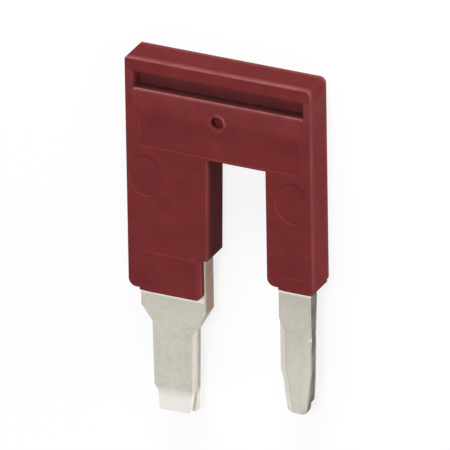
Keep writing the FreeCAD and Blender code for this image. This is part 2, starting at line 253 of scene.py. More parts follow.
@dataclass(frozen=True)
class Corner:
    """Rounded corner of an outline. The point is where the two straight sides would meet."""

    u: float
    v: float
    to_right: bool
    to_bottom: bool
    radius: float

    def bend(self, u: Array, v: Array, x: Array, d: Array) -> tuple[Array, Array]:
        """Moves the grid points of the corner's square onto quarter rings.

        With p and q measured from the centre of the radius, a point goes to the distance
        max(p, q) along its own direction, so the square's outer sides become the arc.

        Args:
            u: grid distance from the left side.
            v: grid distance below the top edge.
            x: place from the left so far.
            d: place below the top so far.

        Returns:
            The new x and d.
        """
        side = 1.0 if self.to_right else -1.0
        fall = 1.0 if self.to_bottom else -1.0
        p = side * (u - self.u) + self.radius
        q = fall * (v - self.v) + self.radius
        edge = self.radius + HAIR
        within = (p > 0) & (q > 0) & (p <= edge) & (q <= edge)
        far = np.where(within, np.hypot(p, q), 1.0)
        scale = np.where(within, np.maximum(p, q) / far, 1.0)
        return (
            x + side * (scale - 1.0) * np.where(within, p, 0.0),
            d + fall * (scale - 1.0) * np.where(within, q, 0.0),
        )

    def lines(self, strips: int = 5) -> Lines:
        """Columns and rows that the corner needs, evenly over its radius."""
        inward = np.linspace(0.0, self.radius, strips + 1)
        side = -1.0 if self.to_right else 1.0
        fall = -1.0 if self.to_bottom else 1.0
        return list(self.u + side * inward), list(self.v + fall * inward)


@dataclass(frozen=True)
class Patch:
    """Upright rectangle of the grid, given by its four sides."""

    left: float
    right: float
    top: float
    bottom: float

    def depth(self, u: Array, v: Array) -> Array:
        """Distance in from the nearest side, negative outside the rectangle."""
        return np.minimum.reduce(
            [u - self.left, self.right - u, v - self.top, self.bottom - v]
        )


def depth_in(patches: list[Patch], u: Array, v: Array) -> Array:
    """Distance in from the outline of several joined rectangles: the largest of theirs."""
    return np.maximum.reduce([patch.depth(u, v) for patch in patches])


# Relief plates


@dataclass
class ReliefPlate:
    """Closed plate between two height maps over one grid."""

    columns: Array
    rows: Array
    outline: list[Patch]
    place: Callable[[Array, Array], tuple[Array, Array]]
    front: Callable[[Array, Array], Array]
    rear: Callable[[Array, Array], Array]
    width: float
    length: float
    wall_strips: int = 6
    marks: dict[str, Callable[[Array, Array, Array], Array]] = field(default_factory=dict)

    def build(self, name: str) -> bpy.types.Object:
        """Makes the plate's mesh and puts it in the scene.

        Cells whose middle lies in the outline are kept. The front takes them as they are and
        the rear turns them over. Each cell side with no neighbour gets a wall of strips, whose
        points lie evenly between the front's point and the rear's.

        Args:
            name: name of the new object.

        Returns:
            The new object, at the origin, in metres.
        """
        u, v = np.meshgrid(self.columns, self.rows)
        mid_u, mid_v = np.meshgrid(
            (self.columns[1:] + self.columns[:-1]) / 2, (self.rows[1:] + self.rows[:-1]) / 2
        )
        cells = depth_in(self.outline, mid_u, mid_v) > 0
        padded = np.pad(cells, 1)
        used = padded[1:, 1:] | padded[:-1, 1:] | padded[1:, :-1] | padded[:-1, :-1]
        number = np.cumsum(used.ravel()).reshape(used.shape) - 1
        count = int(used.sum())

        x, d = self.place(u, v)
        flat = np.stack([x - self.width / 2, self.length / 2 - d], axis=-1)
        front = np.concatenate([flat, self.front(u, v)[..., None]], axis=-1)[used]
        rear = np.concatenate([flat, self.rear(u, v)[..., None]], axis=-1)[used]

        j, i = np.nonzero(cells)
        top_left, top_right = number[j, i], number[j, i + 1]
        low_left, low_right = number[j + 1, i], number[j + 1, i + 1]
        front_faces = np.stack([top_left, low_left, low_right, top_right], axis=-1)

        open_sides = [
            (~padded[1:-1, :-2][j, i], top_left, low_left),
            (~padded[2:, 1:-1][j, i], low_left, low_right),
            (~padded[1:-1, 2:][j, i], low_right, top_right),
            (~padded[:-2, 1:-1][j, i], top_right, top_left),
        ]
        begin = np.concatenate([a[free] for free, a, _ in open_sides])
        end = np.concatenate([b[free] for free, _, b in open_sides])
        border = np.unique(begin)
        rank = np.zeros(count, int)
        rank[border] = np.arange(len(border))
        share = np.arange(1, self.wall_strips) / self.wall_strips
        between = front[border] + share[:, None, None] * (rear[border] - front[border])

        def ring(level: int, points: Array) -> Array:
            """Vertex numbers of border points on one level, 0 at the front."""
            if level == 0:
                return points
            if level == self.wall_strips:
                return points + count
            return 2 * count + (level - 1) * len(border) + rank[points]

        walls = [
            np.stack([ring(k, end), ring(k, begin), ring(k + 1, begin), ring(k + 1, end)], axis=-1)
            for k in range(self.wall_strips)
        ]
        vertices = np.concatenate([front, rear, between.reshape(-1, 3)]) * MM
        faces = np.concatenate([front_faces, front_faces[:, ::-1] + count, *walls])
        mesh = bpy.data.meshes.new(name)
        mesh.from_pydata(vertices, [], faces)
        self.mark(mesh, u[used], v[used], border)
        piece = bpy.data.objects.new(name, mesh)
        bpy.context.scene.collection.objects.link(piece)
        return piece

    def mark(self, mesh: bpy.types.Mesh, u: Array, v: Array, border: Array) -> None:
        """Writes each named mark, a function of u, v and height, as a point attribute.

        Args:
            mesh: mesh to write to.
            u: grid distance from the left of the used points.
            v: grid distance below the top of the used points.
            border: numbers of the used points on the outline.
        """
        between = np.tile(border, self.wall_strips - 1)
        all_u = np.concatenate([u, u, u[between]])
        all_v = np.concatenate([v, v, v[between]])
        places = np.empty(len(mesh.vertices) * 3, np.float32)
        mesh.vertices.foreach_get("co", places)
        height = places.reshape(-1, 3)[:, 2] / MM
        for name, rule in self.marks.items():
            layer = mesh.attributes.new(name, "FLOAT", "POINT")
            layer.data.foreach_set("value", rule(all_u, all_v, height).astype(np.float32))


def settle(piece: bpy.types.Object, finish: bpy.types.Material, slot: str, *nodes: str) -> None:
    """Shades, dresses and registers a finished piece.

    Args:
        piece: the piece.
        finish: its material.
        slot: not used.
        nodes: construction nodes that the piece stands for.
    """
    mesh = piece.data
    mesh.polygons.foreach_set("use_smooth", np.ones(len(mesh.polygons), bool))
    mesh.set_sharp_from_angle(angle=SHARP_ANGLE)
    mesh.materials.clear()
    mesh.materials.append(finish)
    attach(piece, "root")
    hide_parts(*nodes)
    log.info("%s: %d vertices, %d faces", piece.name, len(mesh.vertices), len(mesh.polygons))


# Finishes


class NodeTree:
    """Short calls for the nodes of one tree."""

    def __init__(self, tree: bpy.types.NodeTree) -> None:
        """Takes the tree that the nodes go into."""
        self.tree = tree

    def add(self, kind: str) -> bpy.types.Node:
        """Adds a node of a kind."""
        return self.tree.nodes.new(kind)

    def join(self, source: Socket, target: Socket) -> None:
        """Links an output to an input."""
        self.tree.links.new(source, target)

    def maths(self, operation: str, first: Socket, second: Socket | float) -> Socket:
        """Combines two values.

        Args:
            operation: name of the operation.
            first: first value.
            second: second value, a socket or a number.

        Returns:
            The result.
        """
        node = self.add("ShaderNodeMath")
        node.operation = operation
        self.join(first, node.inputs[0])
        if isinstance(second, Socket):
            self.join(second, node.inputs[1])
        else:
            node.inputs[1].default_value = second
        return node.outputs[0]

    def seen(self) -> Socket:
        """Gives 1 for a look from the camera, in a reflection or through glass, else 0."""
        path = self.add("ShaderNodeLightPath")
        look = self.maths("MAXIMUM", path.outputs["Is Camera Ray"], path.outputs["Is Glossy Ray"])
        return self.maths("MAXIMUM", look, path.outputs["Is Transmission Ray"])

    def blend(self, share: Socket, first: Socket, second: Socket) -> Socket:
        """Mixes two shaders.

        Args:
            share: share of the second shader.
            first: first shader.
            second: second shader.

        Returns:
            The mix.
        """
        node = self.add("ShaderNodeMixShader")
        for source, target in zip((share, first, second), node.inputs):
            self.join(source, target)
        return node.outputs[0]


class Shade(NodeTree):
    """Node material under construction."""

    def __init__(self, name: str) -> None:
        """Starts a material with one Principled shader."""
        self.material = bpy.data.materials.new(name)
        self.material.use_nodes = True
        super().__init__(self.material.node_tree)
        self.shader = self.tree.nodes["Principled BSDF"]

    def place(self) -> Socket:
        """Gives the object coordinates, in metres."""
        return self.add("ShaderNodeTexCoord").outputs["Object"]

    def stretched(self, vector: Socket, scale: Triple) -> Socket:
        """Scales coordinates along each axis."""
        node = self.add("ShaderNodeMapping")
        node.inputs["Scale"].default_value = scale
        self.join(vector, node.inputs["Vector"])
        return node.outputs["Vector"]

    def noise(self, vector: Socket, scale: float, detail: float, roughness: float) -> Socket:
        """Adds a noise texture.

        Args:
            vector: coordinates.
            scale: cells per metre.
            detail: octaves.
            roughness: weight of the finer octaves.

        Returns:
            The noise value.
        """
        node = self.add("ShaderNodeTexNoise")
        node.inputs["Scale"].default_value = scale
        node.inputs["Detail"].default_value = detail
        node.inputs["Roughness"].default_value = roughness
        self.join(vector, node.inputs["Vector"])
        return node.outputs["Fac"]

    def mark(self, name: str) -> Socket:
        """Reads a point attribute of the mesh."""
        node = self.add("ShaderNodeAttribute")
        node.attribute_name = name
        return node.outputs["Fac"]

    def curve(self, value: Socket, source: Span, target: Span) -> Socket:
        """Maps one span to another in a straight line, clamped.

        Args:
            value: value to map.
            source: values that give the ends of the target.
            target: results at the two ends of the source.

        Returns:
            The mapped value.
        """
        node = self.add("ShaderNodeMapRange")
        names = ("From Min", "From Max", "To Min", "To Max")
        for name, number in zip(names, (*source, *target)):
            node.inputs[name].default_value = number
        self.join(value, node.inputs["Value"])
        return node.outputs["Result"]

    def cover(self, under: Socket | Triple, colour: Triple, share: Socket) -> Socket:
        """Lays a colour over another one.

        Args:
            under: the colour below, a socket or a plain colour.
            colour: the colour on top.
            share: how much of the colour on top shows, 0 to 1.

        Returns:
            The mixed colour.
        """
        node = self.add("ShaderNodeMix")
        node.data_type = "RGBA"
        factor, below, above = node.inputs[0], node.inputs[6], node.inputs[7]
        if isinstance(under, Socket):
            self.join(under, below)
        else:
            below.default_value = (*under, 1.0)
        above.default_value = (*colour, 1.0)
        self.join(share, factor)
        return node.outputs[2]

    def colour_by(self, colour: Socket) -> None:
        """Links the shader's base colour."""
        self.join(colour, self.shader.inputs["Base Color"])

    def rough_by(self, base: float, first: Socket, second: Socket) -> None:
        """Sets the shader's roughness.

        Args:
            base: mean roughness.
            first: first change of it.
            second: second change of it.
        """
        change = self.maths("ADD", first, second)
        self.join(self.maths("ADD", change, base), self.shader.inputs["Roughness"])

    def bump(self, height: Socket, strength: float, distance: float) -> None:
        """Adds a bump to the shader.

        Args:
            height: height, about 0 to 1.
            strength: strength of the bump.
            distance: height of 1, in metres.
        """
        node = self.add("ShaderNodeBump")
        node.inputs["Strength"].default_value = strength
        node.inputs["Distance"].default_value = distance
        self.join(height, node.inputs["Height"])
        self.join(node.outputs["Normal"], self.shader.inputs["Normal"])


@dataclass(frozen=True)
class MouldedPlastic:
    """Satin dark red polyamide with faint flow grain, painted highlights on edges and rims,
    painted shade in the groove.
    """

    colour: Triple = (0.176, 0.0272, 0.0295)
    highlight_colour: Triple = (0.45, 0.185, 0.175)
    shade_colour: Triple = (0.144, 0.0228, 0.0240)
    groove_shade_colour: Triple = (0.050, 0.0280, 0.0285)
    flow_stretch: Triple = (1.0, 0.18, 1.0)
    roughness: float = 0.5
    specular: float = 0.012

    def make(self) -> bpy.types.Material:
        """Builds the material.

        Returns:
            The material.
        """
        paint = Shade("housing_plastic")
        place = paint.place()
        cloud = paint.noise(place, scale=420, detail=3, roughness=0.6)
        grain = paint.noise(place, scale=5200, detail=2, roughness=0.5)
        streaks = paint.stretched(place, self.flow_stretch)
        flow = paint.noise(streaks, scale=900, detail=2, roughness=0.5)

        clouded = paint.curve(cloud, (0.35, 0.65), (0.0, 1.0))
        body = paint.cover(self.shade_colour, self.colour, clouded)
        # painted shade: the groove darkens towards its lower side
        body = paint.cover(body, self.groove_shade_colour, paint.mark("dull"))
        # painted highlights on edges and rims, and paler painted light in and below the groove,
        # broken up by the flow noise
        patchy = paint.curve(flow, (0.3, 0.7), (0.45, 1.0))
        highlight = paint.maths("MULTIPLY", paint.mark("edge"), patchy)
        paint.colour_by(paint.cover(body, self.highlight_colour, highlight))

        paint.rough_by(
            self.roughness,
            paint.curve(flow, (0.3, 0.7), (-0.05, 0.05)),
            paint.curve(cloud, (0.3, 0.7), (-0.04, 0.04)),
        )
        paint.shader.inputs["Specular IOR Level"].default_value = self.specular
        height = paint.maths("ADD", grain, paint.maths("MULTIPLY", flow, 1.5))
        paint.bump(height, strength=0.35, distance=0.000012)
        return paint.material


@dataclass(frozen=True)
class TinnedMetal:
    """Matt tin plate, rolling scratches, stains, cut edges, copper, rubbing; painted shade,
    reflection, sheen.
    """

    colour: Triple = (0.70, 0.67, 0.597)
    dull_colour: Triple = (0.53, 0.50, 0.442)
    stain_colour: Triple = (0.55, 0.535, 0.42)
    cut_and_shade_colour: Triple = (0.103, 0.080, 0.047)
    copper_and_reflection_colour: Triple = (0.27, 0.165, 0.115)
    sheen_colour: Triple = (0.95, 0.92, 0.87)
    rolling_stretch: Triple = (1.0, 0.06, 1.0)
    roughness: float = 0.36

    def make(self) -> bpy.types.Material:
        """Builds the material.

        Returns:
            The material.
        """
        paint = Shade("tinned_metal")
        place = paint.place()
        rolled = paint.stretched(place, self.rolling_stretch)
        scratch = paint.noise(rolled, scale=9000, detail=3, roughness=0.6)
        stain = paint.noise(place, scale=650, detail=4, roughness=0.62)
        pits = paint.noise(place, scale=7000, detail=2, roughness=0.5)
        mottle = paint.noise(place, scale=2600, detail=4, roughness=0.7)

        dull = paint.maths(
            "ADD",
            paint.curve(mottle, (0.38, 0.7), (0.0, 0.4)),
            paint.curve(scratch, (0.5, 0.8), (0.0, 0.3)),
        )
        # cut walls, bare and partly painted shade, and painted shade on the face, broken up by the
        # stain noise
        cut = paint.maths(
            "MULTIPLY", paint.mark("cut"), paint.curve(stain, (0.3, 0.6), (0.8, 1.0))
        )
        face = paint.cover(self.colour, self.dull_colour, dull)
        stained = paint.curve(stain, (0.48, 0.72), (0.0, 0.75))
        face = paint.cover(face, self.stain_colour, stained)
        face = paint.cover(face, self.cut_and_shade_colour, cut)
        # copper colour, with a painted reflection of the red housing on the shoulder
        face = paint.cover(face, self.copper_and_reflection_colour, paint.mark("copper"))
        # painted sheen and highlights, with some rubbing
        paint.colour_by(paint.cover(face, self.sheen_colour, paint.mark("rub_and_sheen")))

        paint.rough_by(
            self.roughness,
            paint.curve(scratch, (0.3, 0.7), (-0.06, 0.06)),
            paint.curve(stain, (0.3, 0.7), (-0.04, 0.08)),
        )
        paint.shader.inputs["Metallic"].default_value = 1.0
        height = paint.maths("ADD", scratch, paint.maths("MULTIPLY", pits, 0.6))
        paint.bump(height, strength=0.3, distance=0.00001)
        return paint.material


# Contact leaves


@dataclass(frozen=True)
class Contact:
    """Sizes that both leaves share, in millimetres from the left and below the top."""

    width: float = 16.2
    length: float = 31.13
    middle: float = 1.5
    thickness: float = 0.8
    relief: float = 0.04
    large_relief: float = 0.012
    relief_run: float = 0.4
    bar_top: float = 3.5
    bar_bottom: float = 7.4
    large_left: float = 0.75
    large_right: float = 6.45
    shoulder_end: float = 22.0
    blade_left: float = 1.78
    blade_right: float = 5.21
    left_taper_end: float = 23.3
    right_taper_end: float = 24.05
    right_shoulder_rise: float = 0.18
    blade_flare: float = 0.08
    waist_height: float = 2.1
    waist_inset: float = 0.04
    notch_start: float = 28.93
    notch_end: float = 29.43
    notch_width: float = 0.32
    notch_lean: float = 0.05
    large_slit: float = 23.5
    large_tip_taper: float = 0.34
    large_left_radius: float = 0.16
    front_large_radius: float = 0.26
    rear_large_radius: float = 0.3
    small_left: float = 12.83
    small_right: float = 15.6
    small_slit: float = 21.0
    small_tip: float = 29.2
    taper_start: float = 25.4
    taper_bend: float = 26.4
    bend_taper: float = 0.26
    tip_left_taper: float = 0.47
    tip_right_taper: float = 0.5
    tip_left_radius: float = 0.3
    front_tip_radius: float = 0.55
    rear_tip_radius: float = 0.15
    rear_levels: tuple[float, ...] = (7.4, 7.45, 18.0, 21.0, 24.0)
    rear_insets: tuple[float, ...] = (0.0, 0.06, 0.06, 0.17, 0.24, 0.36)
    rear_rise: float = 0.93
    lead_in_height: float = 1.9
    lead_in_power: float = 1.3
    large_lead_in: float = 0.12
    small_lead_in: float = 0.25
    edge_radius: float = 0.09
    edge_strips: int = 4
    edge_zone: float = 0.7
    bevel_width: float = 0.6
    bevel_drop: float = 0.2
    right_bevel_drop: float = 0.11
    bevel_start: float = 20.8
    bevel_slant: float = 1.6
    bevel_run: float = 0.25
    crease_strip: float = 0.04
    coin_depth: float = 0.05
    coin_rise: float = 0.5
    coin_slant: float = 0.55
    coin_run: float = 0.4
    coin_sides: Span = (2.6, 4.6)
    bulge_length: float = 3.5
    bulge_height: float = 0.006
    bulge_seed: int = 11
    column_step: float = 0.14
    row_step: float = 0.16


@dataclass(frozen=True)
class LeafLightAndMarks:
    """Marks, painted shade, painted reflection and painted highlights on the leaves.

    Numbers are shares from 0 to 1 where the name gives no size. A span holds both ends of a
    ramp. Levels are measured below the top, and depths from a leaf's outer face, negative into
    the metal, in millimetres.
    """

    edge_span: Span = (0.0, 0.05)
    small_side_overlap: float = 0.05
    small_wall_depths: Span = (-0.16, -0.06)
    large_wall_depths: Span = (-0.3, -0.12)
    rear_wall_depths: Span = (-0.68, -0.45)
    face_depth: float = -0.5
    # painted shade on the cut walls: shoulder side, rear wall and the small leg's upper right edge
    shoulder_reach: float = 0.9
    shoulder_cut: float = 0.8
    rear_wall_cut: float = 0.66
    upper_side_cut: float = 0.36
    upper_side_levels: Span = (20.6, 21.4)
    # painted shade along the small leg's bevel crease
    crease: float = 0.3
    crease_loss: float = 0.1
    crease_width: float = 0.06
    crease_start_levels: Span = (20.9, 21.2)
    crease_loss_levels: Span = (21.7, 22.3)
    # painted shade in a slanted line along the coined ramp, then darker upright bands
    stain: float = 0.09
    ramp_shade_width: float = 0.28
    ramp_shade_level: float = 26.95
    ramp_shade_slant: float = 0.5
    ramp_shade_sides: Span = (5.2, 6.0)
    bands: tuple[Triple, ...] = ((0.05, 5.95, 0.4), (0.025, 4.4, 0.8))
    band_start_levels: Span = (23.6, 24.4)
    band_end_levels: Span = (27.6, 29.4)
    # painted shade below the housing's lips, and the small leg darker at its top
    small_lip_shade: float = 0.12
    large_lip_shade: float = 0.05
    small_shade_level: float = 18.55
    large_shade_level: float = 20.95
    shade_height: float = 1.6
    upper_shade: float = 0.1
    lower_shine: float = 0.08
    lower_levels: Span = (22.5, 26.0)
    # copper colour, with a painted reflection of the red housing on the shoulder
    shoulder_red_reflection: float = 0.85
    blade_copper: float = 0.1
    strip_copper: float = 0.08
    strip_copper_gain: float = 1.2
    copper_depths: Span = (-0.25, -0.05)
    # painted sheen and highlights: edges, lead-ins, the rear leaf's large tip and the line below
    # the lips
    sheen_edge_span: Span = (0.03, 0.09)
    sheen_depths: Span = (-0.45, -0.3)
    small_sheen_reach: float = 0.13
    lead_levels: Span = (-0.3, 0.6)
    small_lead_shine: float = 0.15
    edge_shine: float = 0.25
    edge_shine_rise: float = 0.6
    small_edge_shine: float = 0.2
    small_edge_levels: tuple[Span, Span] = ((20.9, 21.3), (22.6, 23.4))
    rear_tip_shine: float = 0.6
    rear_tip_sides: Span = (-1.1, -0.7)
    rear_tip_levels: Span = (-2.2, -1.5)
    lip_shine: float = 0.8
    small_lip_level: float = 18.32
    large_lip_level: float = 20.7
    lip_shine_spans: tuple[Span, Span] = ((-0.2, 0.0), (0.12, 0.3))
    lip_shine_right: float = 6.3
    # painted light on the small leg's strips and a painted glint on its burr
    left_strip: float = 0.48
    left_strip_border: float = 0.08
    right_strip: float = 0.13
    right_strip_span: Span = (0.42, 0.56)
    ripple_height: float = 0.06
    ripple_rate: float = 9.0
    ripple_levels: tuple[Span, Span] = ((22.9, 23.5), (25.2, 25.8))
    burr_inset: float = 0.08
    burr_level: float = 22.35
    burr_width: float = 0.1
    burr_height: float = 0.11


@dataclass(frozen=True)
class Leaf:
    """One stamped leaf, front or rear, with its own tips."""

    face: Face
    sizes: Contact = Contact()
    light_and_marks: LeafLightAndMarks = LeafLightAndMarks()

    @property
    def in_front(self) -> bool:
        """Whether this is the front leaf."""
        return self.face is Face.FRONT

    @property
    def large_tip(self) -> float:
        """Level of the large leg's tip."""
        return self.sizes.length

    @property
    def small_tip(self) -> float:
        """Level of the small leg's tip, higher on the rear leaf."""
        return self.sizes.small_tip - (0.0 if self.in_front else self.sizes.rear_rise)

    def large_sides(self, v: Array) -> tuple[Array, Array]:
        """Left and right side of the large leg at each level, straight between its corners."""
        s = self.sizes
        left = np.interp(
            v,
            [s.shoulder_end, s.left_taper_end, s.notch_start, s.notch_end, s.length],
            [
                s.large_left,
                s.blade_left - s.blade_flare,
                s.blade_left,
                s.blade_left + s.notch_width,
                s.blade_left + s.notch_width + s.notch_lean,
            ],
        )
        rise = s.right_shoulder_rise
        right = np.interp(
            v,
            [s.shoulder_end - rise, s.right_taper_end - rise, s.length - s.waist_height, s.length],
            [
                s.large_right,
                s.blade_right + s.blade_flare,
                s.blade_right - s.waist_inset,
                s.blade_right - (s.large_tip_taper if self.in_front else 0.0),
            ],
        )
        return left, right

    def small_sides(self, v: Array) -> tuple[Array, Array]:
        """Left and right side of the small leg at each level, straight between its corners."""
        s = self.sizes
        left = np.interp(
            v,
            [s.taper_start, s.taper_bend, self.small_tip],
            s.small_left + np.array([0.0, s.bend_taper, s.tip_left_taper]),
        )
        if self.in_front:
            levels, insets = (s.taper_start, self.small_tip), (0.0, s.tip_right_taper)
        else:
            levels, insets = (*s.rear_levels, self.small_tip), s.rear_insets
        return left, np.interp(v, levels, s.small_right - np.array(insets))

    def place(self, u: Array, v: Array) -> tuple[Array, Array]:
        """Puts the straight grid of each leg between the leg's real sides.

        Near a side a point keeps its distance from that side, and the strip between is
        stretched evenly, so rounded edges and bevels keep their width where the leg narrows.

        Args:
            u: grid distance from the left side.
            v: grid distance below the top edge.

        Returns:
            Place from the left and place below the top.
        """
        s = self.sizes
        x, d = u.astype(float), v.astype(float)
        for corner in self.corners():
            x, d = corner.bend(u, v, x, d)
        for start, stop, sides in (
            (s.large_left, s.large_right, self.large_sides),
            (s.small_left, s.small_right, self.small_sides),
        ):
            left, right = sides(v)
            zone = s.edge_zone
            inner = (x - start - zone) / (stop - start - 2 * zone)
            stretched = left + zone + inner * (right - left - 2 * zone)
            moved = np.where(
                x < start + zone,
                left + x - start,
                np.where(x > stop - zone, right + x - stop, stretched),
            )
            here = (u >= start - HAIR) & (u <= stop + HAIR)
            x = np.where(here, moved, x)
        return x, d

    def corners(self) -> list[Corner]:
        """Rounded corners at the tips."""
        s = self.sizes
        small_right = s.front_tip_radius if self.in_front else s.rear_tip_radius
        large_right = s.front_large_radius if self.in_front else s.rear_large_radius
        return [
            Corner(s.small_left, self.small_tip, False, True, s.tip_left_radius),
            Corner(s.small_right, self.small_tip, True, True, small_right),
            Corner(s.large_left, self.large_tip, False, True, s.large_left_radius),
            Corner(s.large_right, self.large_tip, True, True, large_right),
        ]

    def outline(self) -> list[Patch]:
        """Rectangles of the grid that the leaf fills."""
        s = self.sizes
        return [
            Patch(s.large_left, s.small_right, s.bar_top, s.bar_bottom),
            Patch(s.large_left, s.large_right, s.bar_top, self.large_tip),
            Patch(s.small_left, s.small_right, s.bar_top, self.small_tip),
        ]

    def on_small(self, u: Array) -> Array:
        """Whether each point is on the small leg's half of the leaf."""
        return u > (self.sizes.large_right + self.sizes.small_left) / 2

    def on_small_edge(self, u: Array) -> Array:
        """Whether each point is in the edge zone at the small leg's right side."""
        return u > self.sizes.small_right - self.sizes.edge_zone

    def below_tip_line(self, u: Array, v: Array) -> Array:
        """Distance of each point below the upper end of its leg's lead-in."""
        tip = np.where(self.on_small(u), self.small_tip, self.large_tip)
        return v - tip + self.sizes.lead_in_height

    def on_shoulder(self, v: Array) -> Array:
        """Share that falls from 1 above the large leg's shoulder to 0 at its blade."""
        return 1.0 - ramp(v, self.sizes.shoulder_end, self.sizes.right_taper_end)

    def in_bevels(self, u: Array, v: Array) -> Array:
        """Share that rises from 0 to 1 below the bevels' slanted upper end."""
        s = self.sizes
        start = s.bevel_start + s.bevel_slant * np.minimum(u - s.small_left, s.small_right - u)
        return ramp(v, start, start + s.bevel_run)

    def depth(self, height: Array) -> Array:
        """Height of each point over the outer face's plane, negative into the metal."""
        return np.abs(height - self.sizes.middle) - self.sizes.thickness

    def shaved(self, u: Array, v: Array) -> Array:
        """Depth taken off the outer face: rounded edges, bevels, coining and lead-ins.

        The bevels fall in a straight line to the sides of the small leg and run out at a slant
        at their upper end. The lead-ins fall to the tips by a power of the distance. The coined
        part of the large leg starts at a slant below the shoulder.

        Args:
            u: grid distance from the left side.
            v: grid distance below the top edge.

        Returns:
            The depth at each point.
        """
        s = self.sizes
        small = self.on_small(u)
        from_left, from_right = u - s.small_left, s.small_right - u
        bevel = ramp(np.minimum(from_left, from_right), s.bevel_width, 0.0)
        right_drop = s.right_bevel_drop if self.in_front else 0.0
        most = np.where(from_left < from_right, s.bevel_drop, right_drop)
        lead = ramp(self.below_tip_line(u, v), 0.0, s.lead_in_height) ** s.lead_in_power
        lead_in = np.where(small, s.small_lead_in, s.large_lead_in)
        bulge = wave(u, v, s.bulge_length, s.bulge_seed + self.in_front)
        bulge = np.where(v > s.bar_bottom, bulge, 0.0)
        level = s.right_taper_end - s.coin_rise + s.coin_slant * (s.blade_right - u)
        coined = s.coin_depth * soft_ramp(v, level, level + s.coin_run)
        coined = coined * soft_ramp(u, *s.coin_sides)
        drop = rounded_drop(depth_in(self.outline(), u, v), s.edge_radius)
        drop = drop + lead_in * lead + s.bulge_height * (bulge + 1.0)
        return drop + np.where(small, most * bevel * self.in_bevels(u, v), coined)

    def outer(self, u: Array, v: Array) -> Array:
        """Height of the outer face."""
        s = self.sizes
        half = s.thickness - self.shaved(u, v)
        return s.middle + half if self.in_front else s.middle - half

    def inner(self, u: Array, v: Array) -> Array:
        """Height of the inner face, set back below the slit's start."""
        s = self.sizes
        small = self.on_small(u)
        start = np.where(small, s.small_slit, s.large_slit)
        gap = np.where(small, s.relief, s.large_relief) * ramp(v, start, start + s.relief_run)
        return s.middle + gap if self.in_front else s.middle - gap

    def build(self) -> bpy.types.Object:
        """Makes the leaf.

        Returns:
            The leaf's object.
        """
        s = self.sizes
        edge = rim_offsets(s.edge_radius, s.edge_strips)
        bevel = s.bevel_width + s.crease_strip * np.array([-1.0, 0.0, 1.0])
        insets = np.concatenate([edge, bevel, [s.edge_zone]])
        columns = [
            *(s.large_left + insets),
            *(s.large_right - insets),
            *(s.small_left + insets),
            *(s.small_right - insets),
        ]
        rows = [
            s.bar_top,
            s.bar_bottom,
            s.rear_levels[1],
            s.shoulder_end,
            s.left_taper_end,
            s.right_taper_end,
            s.shoulder_end - s.right_shoulder_rise,
            s.right_taper_end - s.right_shoulder_rise,
            s.notch_start,
            s.notch_end,
            s.large_slit,
            s.small_slit,
            s.taper_start,
            *(self.large_tip - edge),
            *(self.small_tip - edge),
            self.small_tip - s.lead_in_height,
            self.large_tip - s.lead_in_height,
        ]
        extend(columns, rows, [corner.lines(s.edge_strips) for corner in self.corners()])
        front, rear = (self.outer, self.inner) if self.in_front else (self.inner, self.outer)
        return ReliefPlate(
            columns=grid_lines(columns, s.column_step),
            rows=grid_lines(rows, s.row_step),
            outline=self.outline(),
            place=self.place,
            front=front,
            rear=rear,
            width=s.width,
            length=s.length,
            wall_strips=5,
            marks={
                # cut also holds painted shade, copper a painted reflection of the red housing, and
                # the third mark painted sheen and highlights
                "cut": self.cut_and_shade_share,
                "copper": self.copper_and_reflection_share,
                "rub_and_sheen": self.rub_and_sheen_share,
            },
        ).build(f"{self.face.value}_leaf")

    def cut_and_shade_share(self, u: Array, v: Array, height: Array) -> Array:
        """How much darker metal shows: cut walls, partly painted shade, and painted shade and
        bands on the face.

        Args:
            u: grid distance from the left side.
            v: grid distance below the top edge.
            height: height above the rear face.

        Returns:
            Values from 0 to 1.
        """
        w = self.light_and_marks
        small = self.on_small(u)
        small_edge = small & self.on_small_edge(u)
        depth = self.depth(height)
        shoulder = self.on_shoulder(v)
        inset = depth_in(self.outline(), u, v) - np.where(small_edge, w.small_side_overlap, 0.0)
        near = 1.0 - ramp(inset, *w.edge_span)
        # the cut walls: bare metal, partly darkened as painted shade
        wall = 1.0 - np.where(
            small, ramp(depth, *w.small_wall_depths), ramp(depth, *w.large_wall_depths)
        )
        # painted shade down the large leg's shoulder side
        wall = np.maximum(wall, np.where(small, 0.0, w.shoulder_reach * shoulder))
        # painted shade on the small leg's right edge above the bevels
        upper_side = w.upper_side_cut * (1.0 - ramp(v, *w.upper_side_levels))
        wall = np.maximum(wall, upper_side * small_edge)
        large = w.shoulder_cut * shoulder
        if not self.in_front:
            # painted shade on the rear leaf's cut wall towards its rear face
            rear_wall = ramp(depth, *w.rear_wall_depths)
            wall = np.where(small, wall, np.maximum(wall, rear_wall))
            large = np.maximum(large, w.rear_wall_cut * rear_wall)
        # painted shade at the crease, along the coined ramp and below the lips, and darker bands
        marks = np.maximum(self.crease_shade(u, v), self.blade_marks(u, v))
        marks = np.maximum(marks, self.lip_shade(u, v)) * (depth > w.face_depth)
        return np.maximum(near * wall * np.where(small, 1.0, large), marks)

    def crease_shade(self, u: Array, v: Array) -> Array:
        """Painted shade: a dark line where the small leg's left bevel meets the face, a bell
        across the crease.
        """
        s, w = self.sizes, self.light_and_marks
        place = s.small_left + np.clip((v - s.bevel_start) / s.bevel_slant, 0, s.bevel_width)
        share = w.crease - w.crease_loss * soft_ramp(v, *w.crease_loss_levels)
        share = share * ramp(v, *w.crease_start_levels)
        return share * bell(u - place, w.crease_width) * self.on_small(u)

    def blade_marks(self, u: Array, v: Array) -> Array:
        """Painted shade along the coined ramp and darker upright bands on the large leg, each a
        bell across its line.
        """
        w = self.light_and_marks
